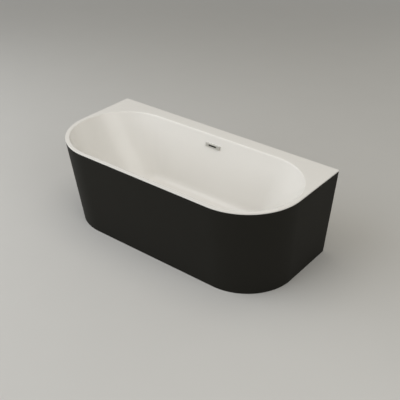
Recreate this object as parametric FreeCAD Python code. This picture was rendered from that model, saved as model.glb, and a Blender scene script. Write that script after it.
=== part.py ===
import FreeCAD, Part
import math
import os

# Back-to-wall bathtub: white acrylic basin, dark skirt, steel cradle, levelling feet,
# slotted overflow, push-open waste and a swivelling trap.
#
# Millimetres. The origin is on the floor, under the middle of the bath. +X runs along the
# bath, +Y towards the wall that it backs on to, +Z up.

# ---- the whole bath -----------------------------------------------------------------
LENGTH = 1700.0
DEPTH = 800.0
HEIGHT = 600.0

# ---- the basin ----------------------------------------------------------------------
RIM_WIDTH = 28.0               # front and side rim, outer edge to basin wall
BACK_DECK = 92.0               # basin wall to room wall, behind the middle of the basin
BASIN_FLOOR = 160.0            # height of the basin's floor above the room's
END_SLOPE = 32.0               # backrests, degrees from upright
SIDE_DRAFT = 10.0              # long walls, degrees from upright
CORNER_TURN = 30.0             # part of each rim quarter that tightens into a floor corner
FLOOR_CORNER_RADIUS = 110.0
FLOOR_FILLET = 75.0
RIM_ROUNDING = 10.0
RIM_EDGE_ROUNDING = 1.5

# ---- the sheet layers ---------------------------------------------------------------
ACRYLIC = 5.0
GLASSFIBRE = 3.0
BOARD_THICKNESS = 15.0
PLY_THICKNESS = 18.0

# ---- the skirt ----------------------------------------------------------------------
SKIRT_THICKNESS = 6.0
SKIRT_FRONT_LEAN = 78.0        # how far the front hem stands back from the rim
SKIRT_SIDE_LEAN = 47.0
HEM_CORNER_TIGHTENING = 37.0   # how much smaller the front corners' radius is at the hem
SKIRT_FLANGE = 18.0            # bonding flange under the rim
SKIRT_RETURN = 25.0            # flat strips against the wall

# ---- timber under the deck and inside the hem ---------------------------------------
DECK_BATTEN_GAP = 28.0         # batten end to gusset
DECK_BATTEN_FROM_BASIN = 17.0  # behind the top of the basin's wall
DECK_BATTEN_FROM_WALL = 22.0
GUSSET_INSET = 22.0            # from the rim's side
GUSSET_BACK_INSET = 12.0
GUSSET_LEG = 210.0
HEM_BATTEN_RISE = 6.0          # above the floor
HEM_BATTEN_HEIGHT = 80.0
HEM_BATTEN_FROM_CORNER = 102.0 # end of the front batten to where the front starts to curve
HEM_BATTEN_SIDE_LENGTH = 280.0

# ---- the base board -----------------------------------------------------------------
BOARD_END_INSET = 67.06        # from the basin floor's end, its fillet left out
BOARD_SIDE_INSET = 77.42
BOARD_CORNER_RADIUS = 40.0
BOARD_WASTE_HOLE = 65.0        # radius
BOARD_SLOT_HALF_WIDTH = 27.0   # way out for the overflow pipe

# ---- the steel cradle ---------------------------------------------------------------
STEEL_SECTION = 30.0
STEEL_WALL = 2.0
CROSSBAR_FROM_BOARD_END = 60.0
CROSSBAR_FROM_MIDDLE = 170.0
RAIL_OUTSIDE_BOARD = 5.0       # middle of a rail to the board's edge
FRONT_RAIL_FROM_END = 190.0    # rail end to the end of the bath
REAR_RAIL_FROM_END = 150.0
BOLT_RADIUS = 4.0
BOLT_HEAD_RADIUS = 6.5
BOLT_HEAD_HEIGHT = 5.5
BOLT_GRIP = 4.0                # thread standing past the crossbar's lower wall

# ---- screws -------------------------------------------------------------------------
SCREW_RADIUS = 2.4
SCREW_HEAD_RADIUS = 4.6
SCREW_HEAD_HEIGHT = 2.5
SCREW_BITE = 12.0              # length in the timber

# ---- levelling feet -----------------------------------------------------------------
FOOT_FROM_END = 230.0
STUD_RADIUS = 6.0
THREAD_CLEARANCE = 0.05
STUD_HOLE_RADIUS = 6.6
NUT_ACROSS_FLATS = 19.0
NUT_HEIGHT = 10.0
PAD_RADIUS = 25.0
PAD_HEIGHT = 14.0
PAD_TOP_RADIUS = 15.0
PAD_SOCKET_DEPTH = 8.0
STUD_COLLAR_HEIGHT = 7.0
FOOT_DROP = 15.0               # travel of each foot below its rest height
STUD_SPARE = 1.0               # thread above the upper nut with the foot fully down

# ---- brackets -----------------------------------------------------------------------
BRACKET_STEEL = 2.5
SKIRT_BRACKET_FROM_END = 80.0  # from the end of the front hem batten
SKIRT_BRACKET_WIDTH = 40.0
SKIRT_BRACKET_LEG = 52.0
SKIRT_BRACKET_SCREW_DROP = 36.4    # below the rail
WALL_BRACKET_FROM_END = 140.0  # from the end of the deck batten
WALL_BRACKET_WIDTH = 50.0
WALL_BRACKET_LEG = 70.0
WALL_BRACKET_SCREW_SPACING = 25.0
WALL_BRACKET_HOLE_RADIUS = 4.0
WALL_BRACKET_HOLE_DROP = 42.0  # below the batten

# ---- overflow -----------------------------------------------------------------------
OVERFLOW_DROP = 70.0           # rim to the middle of the slot
COVER_LENGTH = 110.0
COVER_HEIGHT = 27.0
COVER_DEPTH = 11.0
COVER_WALL = 2.0
COVER_ROUNDING = 1.2
COVER_SLOT_LENGTH = 61.0
COVER_SLOT_HEIGHT = 9.0
PLATE_MARGIN = 0.5             # between the cover's walls and the plate inside it
PLATE_THICKNESS = 2.0
WALL_SLOT_LENGTH = 70.0
WALL_SLOT_HEIGHT = 14.0
OVERFLOW_SCREW_X = 43.0
OVERFLOW_SEAL = 3.0
FLANGE_LENGTH = 112.0
FLANGE_HEIGHT = 36.0
FLANGE_THICKNESS = 4.0
CHAMBER_LENGTH = 80.0
CHAMBER_HEIGHT = 30.0
CHAMBER_DEPTH = 36.0
MOULDING_WALL = 2.5

# ---- overflow pipe ------------------------------------------------------------------
PIPE_RADIUS = 16.0
PIPE_WALL = 2.0
PIPE_BEND = 120.0
PIPE_INSERTION = 20.0
SOCKET_CLEARANCE = 0.1
SOCKET_WALL = 2.5
SOCKET_LENGTH = 36.0
PIPE_NUT_WALL = 4.0
PIPE_NUT_LENGTH = 18.0

# ---- waste --------------------------------------------------------------------------
WASTE_HOLE_RADIUS = 26.0
WASTE_RECESS_RADIUS = 36.0
WASTE_RECESS = 2.0
WASTE_SEAL = 1.0
WASTE_FLANGE_RADIUS = 35.0
WASTE_FLANGE_THICKNESS = 2.0
WASTE_TUBE_RADIUS = 25.0
WASTE_TUBE_WALL = 2.5
WASTE_TUBE_LENGTH = 17.0
LOWER_SEAL = 3.0
BODY_FLANGE_RADIUS = 43.0
BODY_FLANGE = 5.0
BARREL_WALL = 3.8
BARREL_LENGTH = 54.0           # below the glassfibre
INLET_DROP = 28.0              # underside of the glassfibre to the side inlet

# ---- plug ---------------------------------------------------------------------------
PLUG_LIFT = 9.0
PLUG_RADIUS = 31.0
PLUG_EDGE = 2.5
PLUG_DOME = 2.0
PLUG_SEAL = 2.0
PLUG_SEAL_RADIUS = 28.5
PLUG_SEAL_WIDTH = 4.0
STEM_RADIUS = 4.5
STEM_LENGTH = 36.0
GUIDE_CLEARANCE = 0.05
GUIDE_RADIUS = 9.0
GUIDE_HEIGHT = 15.0
GUIDE_ARM = 3.0
SPRING_RADIUS = 6.3
SPRING_WIRE = 0.7
SPRING_TURNS = 3.0

# ---- trap ---------------------------------------------------------------------------
UNION_CLEARANCE = 0.3
UNION_WALL = 6.0
UNION_WEB = 4.0
TRAP_COLLAR = 9.4
NECK_RADIUS = 23.5
NECK_WALL = 3.5
TRAP_RADIUS = 46.0
TRAP_WALL = 3.0
TRAP_GAP = 2.0                 # union nut to the trap's lid
TRAP_LID = 4.0
DIP_TUBE_GAP = 18.0            # end of the dip tube to the bottom cap
CAP_THICKNESS = 8.0
CAP_SPIGOT = 6.0
OUTLET_RADIUS = 20.0
OUTLET_BELOW_RAIL = 9.0
OUTLET_ABOVE_CAP = 30.0        # middle of the outlet to the bottom cap's top
OUTLET_PIPE_WALL = 2.5
OUTLET_NECKING = 0.3
OUTLET_SOCKET_LENGTH = 36.0    # past the trap's wall
OUTLET_NUT_WALL = 5.0
OUTLET_NUT_LENGTH = 22.0
OUTLET_FROM_WALL = 70.0

# ---- worked-out levels and places ---------------------------------------------------
FRONT = -DEPTH / 2
BACK = DEPTH / 2
SIDE = LENGTH / 2
CORNER_RADIUS = (DEPTH + RIM_WIDTH - BACK_DECK) / 2    # front corners of the rim, in plan
HEM_CORNER_RADIUS = CORNER_RADIUS - HEM_CORNER_TIGHTENING
BASIN_Y = FRONT + CORNER_RADIUS
BASIN_DEPTH = HEIGHT - BASIN_FLOOR
RIM_HALF_LENGTH = SIDE - RIM_WIDTH
RIM_HALF_WIDTH = CORNER_RADIUS - RIM_WIDTH
FLOOR_HALF_LENGTH = RIM_HALF_LENGTH - BASIN_DEPTH * math.tan(math.radians(END_SLOPE))
FLOOR_HALF_WIDTH = RIM_HALF_WIDTH - BASIN_DEPTH * math.tan(math.radians(SIDE_DRAFT))

RIM_EDGE = ACRYLIC + GLASSFIBRE
RIM_UNDERSIDE = HEIGHT - RIM_EDGE
BASE_UNDERSIDE = BASIN_FLOOR - ACRYLIC - GLASSFIBRE
BOARD_BOTTOM = BASE_UNDERSIDE - BOARD_THICKNESS
BOARD_HALF_LENGTH = FLOOR_HALF_LENGTH - BOARD_END_INSET
BOARD_HALF_WIDTH = FLOOR_HALF_WIDTH - BOARD_SIDE_INSET

RAIL_TOP = BOARD_BOTTOM - STEEL_SECTION
RAIL_BOTTOM = RAIL_TOP - STEEL_SECTION
RAIL_REACH = BOARD_HALF_WIDTH + RAIL_OUTSIDE_BOARD
FRONT_RAIL_Y = BASIN_Y - RAIL_REACH
REAR_RAIL_Y = BASIN_Y + RAIL_REACH
FRONT_RAIL_HALF_LENGTH = SIDE - FRONT_RAIL_FROM_END
REAR_RAIL_HALF_LENGTH = SIDE - REAR_RAIL_FROM_END
CROSSBAR_HALF_LENGTH = RAIL_REACH + STEEL_SECTION / 2
OUTER_CROSSBAR_X = BOARD_HALF_LENGTH - CROSSBAR_FROM_BOARD_END
CROSSBAR_X = (-OUTER_CROSSBAR_X, -CROSSBAR_FROM_MIDDLE, CROSSBAR_FROM_MIDDLE, OUTER_CROSSBAR_X)
FOOT_X = SIDE - FOOT_FROM_END
FEET = {
    "front_left": (-FOOT_X, FRONT_RAIL_Y),
    "front_centre": (0.0, FRONT_RAIL_Y),
    "front_right": (FOOT_X, FRONT_RAIL_Y),
    "rear_left": (-FOOT_X, REAR_RAIL_Y),
    "rear_right": (FOOT_X, REAR_RAIL_Y),
}

DECK_TIMBER_BOTTOM = RIM_UNDERSIDE - PLY_THICKNESS
DECK_BATTEN_FRONT = BASIN_Y + RIM_HALF_WIDTH + DECK_BATTEN_FROM_BASIN
DECK_BATTEN_BACK = BACK - DECK_BATTEN_FROM_WALL
DECK_BATTEN_HALF_LENGTH = SIDE - GUSSET_INSET - GUSSET_LEG - DECK_BATTEN_GAP
HEM_BATTEN_FRONT_HALF_LENGTH = SIDE - CORNER_RADIUS - HEM_BATTEN_FROM_CORNER
SKIRT_BRACKET_X = HEM_BATTEN_FRONT_HALF_LENGTH - SKIRT_BRACKET_FROM_END
WALL_BRACKET_X = DECK_BATTEN_HALF_LENGTH - WALL_BRACKET_FROM_END

PIPE_Z = BASE_UNDERSIDE - INLET_DROP
BARREL_RADIUS = WASTE_TUBE_RADIUS + GUIDE_CLEARANCE + BARREL_WALL
BODY_TOP = BASE_UNDERSIDE - LOWER_SEAL
BODY_BOTTOM = BASE_UNDERSIDE - BARREL_LENGTH
FLANGE_TOP = BASIN_FLOOR - WASTE_RECESS + WASTE_SEAL + WASTE_FLANGE_THICKNESS
FLANGE_BOTTOM = FLANGE_TOP - WASTE_FLANGE_THICKNESS

NEAR = 0.01                    # how close an edge lies to a face to count as on it
PAST = 1.0                     # how far a cutter runs past the face it opens

UP = FreeCAD.Vector(0, 0, 1)
DOWN = FreeCAD.Vector(0, 0, -1)
ALONG = FreeCAD.Vector(1, 0, 0)
TO_WALL = FreeCAD.Vector(0, 1, 0)


# ---- small shape helpers ------------------------------------------------------------
def point(x, y, z):
    return FreeCAD.Vector(x, y, z)


def block(x_low, x_high, y_low, y_high, z_low, z_high):
    """Return a box between two corners."""
    return Part.makeBox(x_high - x_low, y_high - y_low, z_high - z_low, point(x_low, y_low, z_low))


def rod(radius, length, base, direction=UP):
    """Return a solid cylinder that starts at base and runs along direction."""
    return Part.makeCylinder(radius, length, base, direction)


def pipe(outer, inner, length, base, direction=UP):
    """Return a straight tube."""
    return rod(outer, length, base, direction).cut(rod(inner, length, base, direction))


def prism(points, direction):
    """Return the solid that a closed outline of points makes when pushed along direction."""
    return Part.Face(Part.makePolygon(points + points[:1])).extrude(direction)


def hexagon(across_flats, base, height, direction=UP):
    """Return a hexagonal prism that stands on base."""
    radius = across_flats / math.sqrt(3)
    corners = [
        point(radius * math.cos(math.radians(60 * k)), radius * math.sin(math.radians(60 * k)), 0)
        for k in range(6)
    ]
    solid = prism(corners, point(0, 0, height))
    solid.Placement = FreeCAD.Placement(base, FreeCAD.Rotation(UP, direction))
    return solid


def obround(length, height, z_low, z_high):
    """Return a slot-shaped solid, long along X and round at its ends, pushed up along Z."""
    reach = (length - height) / 2
    middle = block(-reach, reach, -height / 2, height / 2, z_low, z_high)
    ends = [rod(height / 2, z_high - z_low, point(x, 0, z_low)) for x in (-reach, reach)]
    return middle.fuse(ends).removeSplitter()


def ruled_solid(bottom, top):
    """Return the solid between two like outlines: flat where both are straight, ruled elsewhere."""
    faces = [Part.Face(bottom), Part.Face(top)]
    for low, high in zip(bottom.Edges, top.Edges):
        if low.Curve.TypeId == "Part::GeomLine":
            corners = [low.valueAt(low.FirstParameter), low.valueAt(low.LastParameter),
                       high.valueAt(high.LastParameter), high.valueAt(high.FirstParameter)]
            faces.append(Part.Face(Part.makePolygon(corners + corners[:1])))
        else:
            faces.append(Part.makeRuledSurface(low, high))
    shell = Part.makeShell(faces)
    shell.sewShape()
    return Part.makeSolid(shell)


def joined(shapes):
    """Return one clean solid made of shapes that touch or overlap."""
    shape = shapes[0].fuse(shapes[1:]).removeSplitter()
    return shape.Solids[0] if len(shape.Solids) == 1 else shape


def group(shapes):
    """Return a compound of separate solids."""
    return Part.makeCompound(shapes)


def screw(seat, direction, through):
    """Return a pan-head screw whose head sits on seat and whose shank runs along direction."""
    shank = rod(SCREW_RADIUS, through + SCREW_BITE, seat, direction)
    head = rod(SCREW_HEAD_RADIUS, SCREW_HEAD_HEIGHT, seat - direction * SCREW_HEAD_HEIGHT, direction)
    return joined([shank, head])


# ---- basin --------------------------------------------------------------------------
def basin_section(half_length, half_width, main_radius, corner_radius, z):
    """Return the closed outline of the basin at one height: two straight sides, two round ends.

    Each end is one main arc between two corner arcs, which are tangent to it and to the
    straight sides. Where the end is a full half circle, its corner arcs share its radius.
    """
    centre_x = half_length - main_radius
    if half_width >= main_radius - NEAR:
        corner_radius = main_radius
        corner_x, corner_y, turn = centre_x, 0.0, math.radians(CORNER_TURN)
    else:
        corner_y = half_width - corner_radius
        corner_x = centre_x + math.sqrt((main_radius - corner_radius) ** 2 - corner_y ** 2)
        turn = math.atan2(corner_x - centre_x, corner_y)

    def on_corner(angle, side_x, side_y):
        x = corner_x + corner_radius * math.sin(angle)
        y = corner_y + corner_radius * math.cos(angle)
        return point(side_x * x, BASIN_Y + side_y * y, z)

    def corner_arc(side_x, side_y, angles):
        return Part.Arc(*(on_corner(angle, side_x, side_y) for angle in angles))

    leaving, arriving = (0.0, turn / 2, turn), (turn, turn / 2, 0.0)
    curves = [
        Part.LineSegment(on_corner(0, -1, 1), on_corner(0, 1, 1)),
        corner_arc(1, 1, leaving),
        Part.Arc(on_corner(turn, 1, 1), point(half_length, BASIN_Y, z), on_corner(turn, 1, -1)),
        corner_arc(1, -1, arriving),
        Part.LineSegment(on_corner(0, 1, -1), on_corner(0, -1, -1)),
        corner_arc(-1, -1, leaving),
        Part.Arc(on_corner(turn, -1, -1), point(-half_length, BASIN_Y, z), on_corner(turn, -1, 1)),
        corner_arc(-1, 1, arriving),
    ]
    return Part.Wire([curve.toShape() for curve in curves])


def basin(offset):
    """Return the basin's hollow as a solid, made bigger all round by offset."""
    grow_x = offset / math.cos(math.radians(END_SLOPE))
    grow_y = offset / math.cos(math.radians(SIDE_DRAFT))
    floor_x = FLOOR_HALF_LENGTH - offset * math.tan(math.radians(END_SLOPE))
    floor_y = FLOOR_HALF_WIDTH - offset * math.tan(math.radians(SIDE_DRAFT))
    end_radius = RIM_HALF_WIDTH + grow_y
    floor_z = BASIN_FLOOR - offset
    top = basin_section(RIM_HALF_LENGTH + grow_x, end_radius, end_radius, end_radius, HEIGHT)
    bottom = basin_section(
        floor_x + grow_x, floor_y + grow_y, end_radius, FLOOR_CORNER_RADIUS + grow_y, floor_z
    )
    solid = ruled_solid(bottom, top)
    floor_edges = [edge for edge in solid.Edges if edge.BoundBox.ZMax < floor_z + 1]
    return solid.makeFillet(FLOOR_FILLET + offset, floor_edges).Solids[0]


def wall_y(z):
    """Return where the basin's back wall is at a height."""
    return BASIN_Y + RIM_HALF_WIDTH - (HEIGHT - z) * math.tan(math.radians(SIDE_DRAFT))


OVERFLOW_Z = HEIGHT - OVERFLOW_DROP
# Overflow pieces are drawn flat: X along the bath, Y up its wall, Z out of the wall.
OVERFLOW_PLACE = FreeCAD.Placement(
    point(0, wall_y(OVERFLOW_Z), OVERFLOW_Z), FreeCAD.Rotation(ALONG, 90 - SIDE_DRAFT)
)
PIPE_FALL = OVERFLOW_PLACE.multVec(
    point(0, 0, -RIM_EDGE - OVERFLOW_SEAL - FLANGE_THICKNESS - CHAMBER_DEPTH / 2)
)


def on_wall(shape):
    """Return a flat-drawn overflow shape moved on to the basin's back wall."""
    moved = shape.copy()
    moved.Placement = OVERFLOW_PLACE.multiply(moved.Placement)
    return moved


def overflow_cuts():
    """Return the cutters for the slot and screw holes through the wall behind the overflow."""
    depth = 2 * RIM_EDGE
    slot = obround(WALL_SLOT_LENGTH, WALL_SLOT_HEIGHT, -depth, depth)
    holes = [
        rod(SCREW_RADIUS, 2 * depth, point(x, 0, -depth))
        for x in (-OVERFLOW_SCREW_X, OVERFLOW_SCREW_X)
    ]
    return [on_wall(cutter) for cutter in [slot] + holes]


# ---- outlines in plan ---------------------------------------------------------------
def plan(side, front, back, radius, z):
    """Return the D-shaped outline of the bath: square corners at the wall, round in front."""
    mid = radius * (1 - math.sqrt(0.5))
    curves = [
        Part.LineSegment(point(-side, back, z), point(side, back, z)),
        Part.LineSegment(point(side, back, z), point(side, front + radius, z)),
        Part.Arc(point(side, front + radius, z), point(side - mid, front + mid, z),
                 point(side - radius, front, z)),
        Part.LineSegment(point(side - radius, front, z), point(-side + radius, front, z)),
        Part.Arc(point(-side + radius, front, z), point(-side + mid, front + mid, z),
                 point(-side, front + radius, z)),
        Part.LineSegment(point(-side, front + radius, z), point(-side, back, z)),
    ]
    return Part.Wire([curve.toShape() for curve in curves])


def rim_slab(inset, z_low, z_high):
    """Return a flat slab with the rim's outline, moved in by inset all round."""
    outline = plan(SIDE - inset, FRONT + inset, BACK - inset, CORNER_RADIUS - inset, z_low)
    return Part.Face(outline).extrude(point(0, 0, z_high - z_low))


def lean(z):
    """Return how much of the skirt's lean is spent at a height: 0 under the rim, 1 at the floor."""
    return 1 - z / RIM_UNDERSIDE


def skirt_outline(inset, back, z):
    """Return the skirt's outline at a height, moved in by inset from its outer face."""
    return plan(
        SIDE - SKIRT_SIDE_LEAN * lean(z) - inset,
        FRONT + SKIRT_FRONT_LEAN * lean(z) + inset,
        back,
        CORNER_RADIUS - (CORNER_RADIUS - HEM_CORNER_RADIUS) * lean(z) - inset,
        z,
    )


def skirt_block(inset, back, z_low, z_high):
    """Return the solid inside the skirt's leaning faces, moved in by inset."""
    return ruled_solid(skirt_outline(inset, back, z_low), skirt_outline(inset, back, z_high))


def skirt_layer(near, far, z_low, z_high, window):
    """Return the part of a layer inside the skirt, near to far from its face, that a box keeps."""
    layer = skirt_block(near, BACK, z_low, z_high).cut(skirt_block(far, BACK + PAST, z_low, z_high))
    return layer.common(window).Solids[0]


# ---- basin and its layers -----------------------------------------------------------
def waste_hole():
    """Return the cut for the waste through the basin's floor, with its shallow recess."""
    through = rod(WASTE_HOLE_RADIUS, BASIN_DEPTH, point(0, BASIN_Y, BOARD_BOTTOM))
    recess = rod(WASTE_RECESS_RADIUS, BASIN_DEPTH, point(0, BASIN_Y, BASIN_FLOOR - WASTE_RECESS))
    return joined([through, recess])


def tub_shell():
    deck = rim_slab(0, HEIGHT - ACRYLIC, HEIGHT)
    lip = rim_slab(0, RIM_UNDERSIDE, HEIGHT).cut(rim_slab(ACRYLIC, RIM_UNDERSIDE, HEIGHT))
    pan = rod(WASTE_RECESS_RADIUS + ACRYLIC, ACRYLIC, point(0, BASIN_Y, BASIN_FLOOR - ACRYLIC))
    body = joined([deck, lip, basin(ACRYLIC), pan]).cut(basin(0))
    body = body.cut([waste_hole()] + overflow_cuts()).Solids[0]
    top = [edge for edge in body.Edges if edge.BoundBox.ZMin > HEIGHT - NEAR]

    def is_outer(edge):
        box = edge.BoundBox
        return (box.XMax > SIDE - NEAR or box.XMin < NEAR - SIDE
                or box.YMin < FRONT + NEAR or box.YMax > BACK - NEAR)

    body = body.makeFillet(RIM_ROUNDING, [edge for edge in top if not is_outer(edge)])
    top = [edge for edge in body.Edges if edge.BoundBox.ZMin > HEIGHT - NEAR and is_outer(edge)]
    return body.makeFillet(RIM_EDGE_ROUNDING, top).Solids[0]


def glassfibre_layer():
    deck = rim_slab(ACRYLIC, RIM_UNDERSIDE, HEIGHT - ACRYLIC)
    below_deck = block(-SIDE, SIDE, FRONT, BACK, 0, HEIGHT - ACRYLIC)
    outer = basin(ACRYLIC + GLASSFIBRE).common(below_deck)
    layer = joined([deck, outer]).cut(basin(ACRYLIC))
    hole = rod(WASTE_HOLE_RADIUS, BASIN_DEPTH, point(0, BASIN_Y, BOARD_BOTTOM))
    return layer.cut([hole] + overflow_cuts()).Solids[0]


def base_board():
    board = block(-BOARD_HALF_LENGTH, BOARD_HALF_LENGTH, BASIN_Y - BOARD_HALF_WIDTH,
                  BASIN_Y + BOARD_HALF_WIDTH, BOARD_BOTTOM, BASE_UNDERSIDE)
    upright = [edge for edge in board.Edges if edge.BoundBox.ZLength > BOARD_THICKNESS / 2]
    board = board.makeFillet(BOARD_CORNER_RADIUS, upright)
    slot = block(-BOARD_SLOT_HALF_WIDTH, BOARD_SLOT_HALF_WIDTH, BASIN_Y, BACK,
                 BOARD_BOTTOM, BASE_UNDERSIDE)
    hole = rod(BOARD_WASTE_HOLE, BOARD_THICKNESS, point(0, BASIN_Y, BOARD_BOTTOM))
    return board.cut(hole).cut(slot).cut(group(board_screws())).Solids[0]


def rear_rim_batten():
    batten = block(-DECK_BATTEN_HALF_LENGTH, DECK_BATTEN_HALF_LENGTH,
                   DECK_BATTEN_FRONT, DECK_BATTEN_BACK, DECK_TIMBER_BOTTOM, RIM_UNDERSIDE)
    return batten.cut(group(wall_bracket_screws())).Solids[0]


def corner_gusset(side):
    x, y = side * (SIDE - GUSSET_INSET), BACK - GUSSET_BACK_INSET
    corners = [point(x, y, DECK_TIMBER_BOTTOM), point(x, y - GUSSET_LEG, DECK_TIMBER_BOTTOM),
               point(x - side * GUSSET_LEG, y, DECK_TIMBER_BOTTOM)]
    return prism(corners, point(0, 0, PLY_THICKNESS))


# ---- skirt --------------------------------------------------------------------------
def skirt_panel():
    flange_bottom = RIM_UNDERSIDE - SKIRT_THICKNESS
    outer = skirt_block(0, BACK, 0, RIM_UNDERSIDE)
    hollow = skirt_block(SKIRT_THICKNESS, BACK - SKIRT_THICKNESS, 0, flange_bottom)
    mouth = Part.Face(plan(SIDE - SKIRT_FLANGE, FRONT + SKIRT_FLANGE, BACK + PAST,
                           CORNER_RADIUS - SKIRT_FLANGE, flange_bottom))
    low = SIDE - SKIRT_SIDE_LEAN - SKIRT_RETURN
    high = SIDE - SKIRT_RETURN
    window = prism(
        [point(-low, BACK - 2 * SKIRT_THICKNESS, 0), point(low, BACK - 2 * SKIRT_THICKNESS, 0),
         point(high, BACK - 2 * SKIRT_THICKNESS, RIM_UNDERSIDE),
         point(-high, BACK - 2 * SKIRT_THICKNESS, RIM_UNDERSIDE)],
        point(0, 3 * SKIRT_THICKNESS, 0),
    )
    return outer.cut([hollow, mouth.extrude(point(0, 0, SKIRT_THICKNESS)), window]).Solids[0]


HEM_BATTEN_TOP = HEM_BATTEN_RISE + HEM_BATTEN_HEIGHT
HEM_BATTEN_BACK = SKIRT_THICKNESS + PLY_THICKNESS
SIDE_BATTEN_Y = (REAR_RAIL_Y - HEM_BATTEN_SIDE_LENGTH / 2, REAR_RAIL_Y + HEM_BATTEN_SIDE_LENGTH / 2)


def skirt_batten_front():
    window = block(-HEM_BATTEN_FRONT_HALF_LENGTH, HEM_BATTEN_FRONT_HALF_LENGTH, FRONT, BASIN_Y,
                   HEM_BATTEN_RISE, HEM_BATTEN_TOP)
    batten = skirt_layer(SKIRT_THICKNESS, HEM_BATTEN_BACK, HEM_BATTEN_RISE, HEM_BATTEN_TOP, window)
    return batten.cut(group(skirt_bracket_screws())).Solids[0]


def skirt_batten_side(side):
    window = block(min(0, side * SIDE), max(0, side * SIDE), *SIDE_BATTEN_Y,
                   HEM_BATTEN_RISE, HEM_BATTEN_TOP)
    batten = skirt_layer(SKIRT_THICKNESS, HEM_BATTEN_BACK, HEM_BATTEN_RISE, HEM_BATTEN_TOP, window)
    return batten.cut(group(skirt_bracket_screws())).Solids[0]


def skirt_brackets():
    """Return the four brackets between the cradle and the skirt's hem battens, by name."""
    arm_top = RAIL_BOTTOM
    arm_bottom = RAIL_BOTTOM - BRACKET_STEEL
    leg_bottom = RAIL_BOTTOM - SKIRT_BRACKET_LEG
    half = SKIRT_BRACKET_WIDTH / 2
    behind = HEM_BATTEN_BACK + BRACKET_STEEL
    screws = group(skirt_bracket_screws())
    brackets = {}
    for name, x in (("front_left", -SKIRT_BRACKET_X), ("front_right", SKIRT_BRACKET_X)):
        window = block(x - half, x + half, FRONT, BASIN_Y, leg_bottom, arm_top)
        leg = skirt_layer(HEM_BATTEN_BACK, behind, leg_bottom, arm_top, window)
        arm = block(x - half, x + half, FRONT, FRONT_RAIL_Y + STEEL_SECTION / 2, arm_bottom, arm_top)
        arm = arm.common(skirt_block(HEM_BATTEN_BACK, BACK, arm_bottom, arm_top))
        brackets[name] = joined([leg, arm]).cut(screws).Solids[0]
    for name, side in (("left", -1), ("right", 1)):
        low, high = sorted((side * (REAR_RAIL_HALF_LENGTH - SKIRT_BRACKET_WIDTH), side * SIDE))
        window = block(low, high, REAR_RAIL_Y - STEEL_SECTION / 2, REAR_RAIL_Y + STEEL_SECTION / 2,
                       leg_bottom, arm_top)
        leg = skirt_layer(HEM_BATTEN_BACK, behind, leg_bottom, arm_top, window)
        arm = window.common(skirt_block(HEM_BATTEN_BACK, BACK, arm_bottom, arm_top))
        brackets[name] = joined([leg, arm]).cut(screws).Solids[0]
    return brackets


def skirt_bracket_screws():
    """Return the screws that hold the hem brackets: one up into a rail, one into a batten each."""
    screws = []
    up_seat = RAIL_BOTTOM - BRACKET_STEEL
    low_z = RAIL_BOTTOM - SKIRT_BRACKET_SCREW_DROP
    behind = HEM_BATTEN_BACK + BRACKET_STEEL
    front_tilt = math.atan2(SKIRT_FRONT_LEAN, RIM_UNDERSIDE)
    side_tilt = math.atan2(SKIRT_SIDE_LEAN, RIM_UNDERSIDE)
    front_y = FRONT + SKIRT_FRONT_LEAN * lean(low_z) + behind
    side_x = SIDE - SKIRT_SIDE_LEAN * lean(low_z) - behind
    for x in (-SKIRT_BRACKET_X, SKIRT_BRACKET_X):
        screws.append(screw(point(x, FRONT_RAIL_Y, up_seat), UP, BRACKET_STEEL))
        out = point(0, -math.cos(front_tilt), -math.sin(front_tilt))
        screws.append(screw(point(x, front_y, low_z), out, BRACKET_STEEL))
    for side in (-1, 1):
        x = side * (REAR_RAIL_HALF_LENGTH - SKIRT_BRACKET_WIDTH / 2)
        screws.append(screw(point(x, REAR_RAIL_Y, up_seat), UP, BRACKET_STEEL))
        out = point(side * math.cos(side_tilt), 0, -math.sin(side_tilt))
        screws.append(screw(point(side * side_x, REAR_RAIL_Y, low_z), out, BRACKET_STEEL))
    return screws


# ---- steel cradle -------------------------------------------------------------------
def square_tube(centre, half_length, along_x):
    """Return a square steel tube that is centred on a point."""
    x, y, z = centre
    half, inner = STEEL_SECTION / 2, STEEL_SECTION / 2 - STEEL_WALL
    if along_x:
        outer = block(x - half_length, x + half_length, y - half, y + half, z - half, z + half)
        hollow = block(x - half_length, x + half_length, y - inner, y + inner, z - inner, z + inner)
    else:
        outer = block(x - half, x + half, y - half_length, y + half_length, z - half, z + half)
        hollow = block(x - inner, x + inner, y - half_length, y + half_length, z - inner, z + inner)
    return outer.cut(hollow)


def frame_rail(y, half_length):
    rail = square_tube((0, y, RAIL_BOTTOM + STEEL_SECTION / 2), half_length, True)
    holes = [
        rod(STUD_HOLE_RADIUS, STEEL_SECTION, point(foot_x, foot_y, RAIL_BOTTOM))
        for foot_x, foot_y in FEET.values() if foot_y == y
    ]
    return rail.cut(holes + frame_bolts() + skirt_bracket_screws()).Solids[0]


def frame_crossbar(x):
    bar = square_tube((x, BASIN_Y, RAIL_TOP + STEEL_SECTION / 2), CROSSBAR_HALF_LENGTH, False)
    return bar.cut(frame_bolts() + board_screws()).Solids[0]


def frame_bolts():
    """Return the bolts that clamp each crossbar down on both rails."""
    bolts = []
    length = STEEL_SECTION + STEEL_WALL + BOLT_GRIP
    for x in CROSSBAR_X:
        for y in (FRONT_RAIL_Y, REAR_RAIL_Y):
            shank = rod(BOLT_RADIUS, length, point(x, y, RAIL_BOTTOM))
            head = hexagon(2 * BOLT_HEAD_RADIUS, point(x, y, RAIL_BOTTOM - BOLT_HEAD_HEIGHT),
                           BOLT_HEAD_HEIGHT)
            bolts.append(joined([shank, head]))
    return bolts


def board_screws():
    """Return the long screws that hold the base board down on the crossbars."""
    reach = RAIL_REACH - STEEL_SECTION - 2 * SCREW_HEAD_RADIUS
    return [
        screw(point(x, BASIN_Y + way * reach, RAIL_TOP), UP, STEEL_SECTION)
        for x in CROSSBAR_X for way in (-1, 1)
    ]


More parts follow.
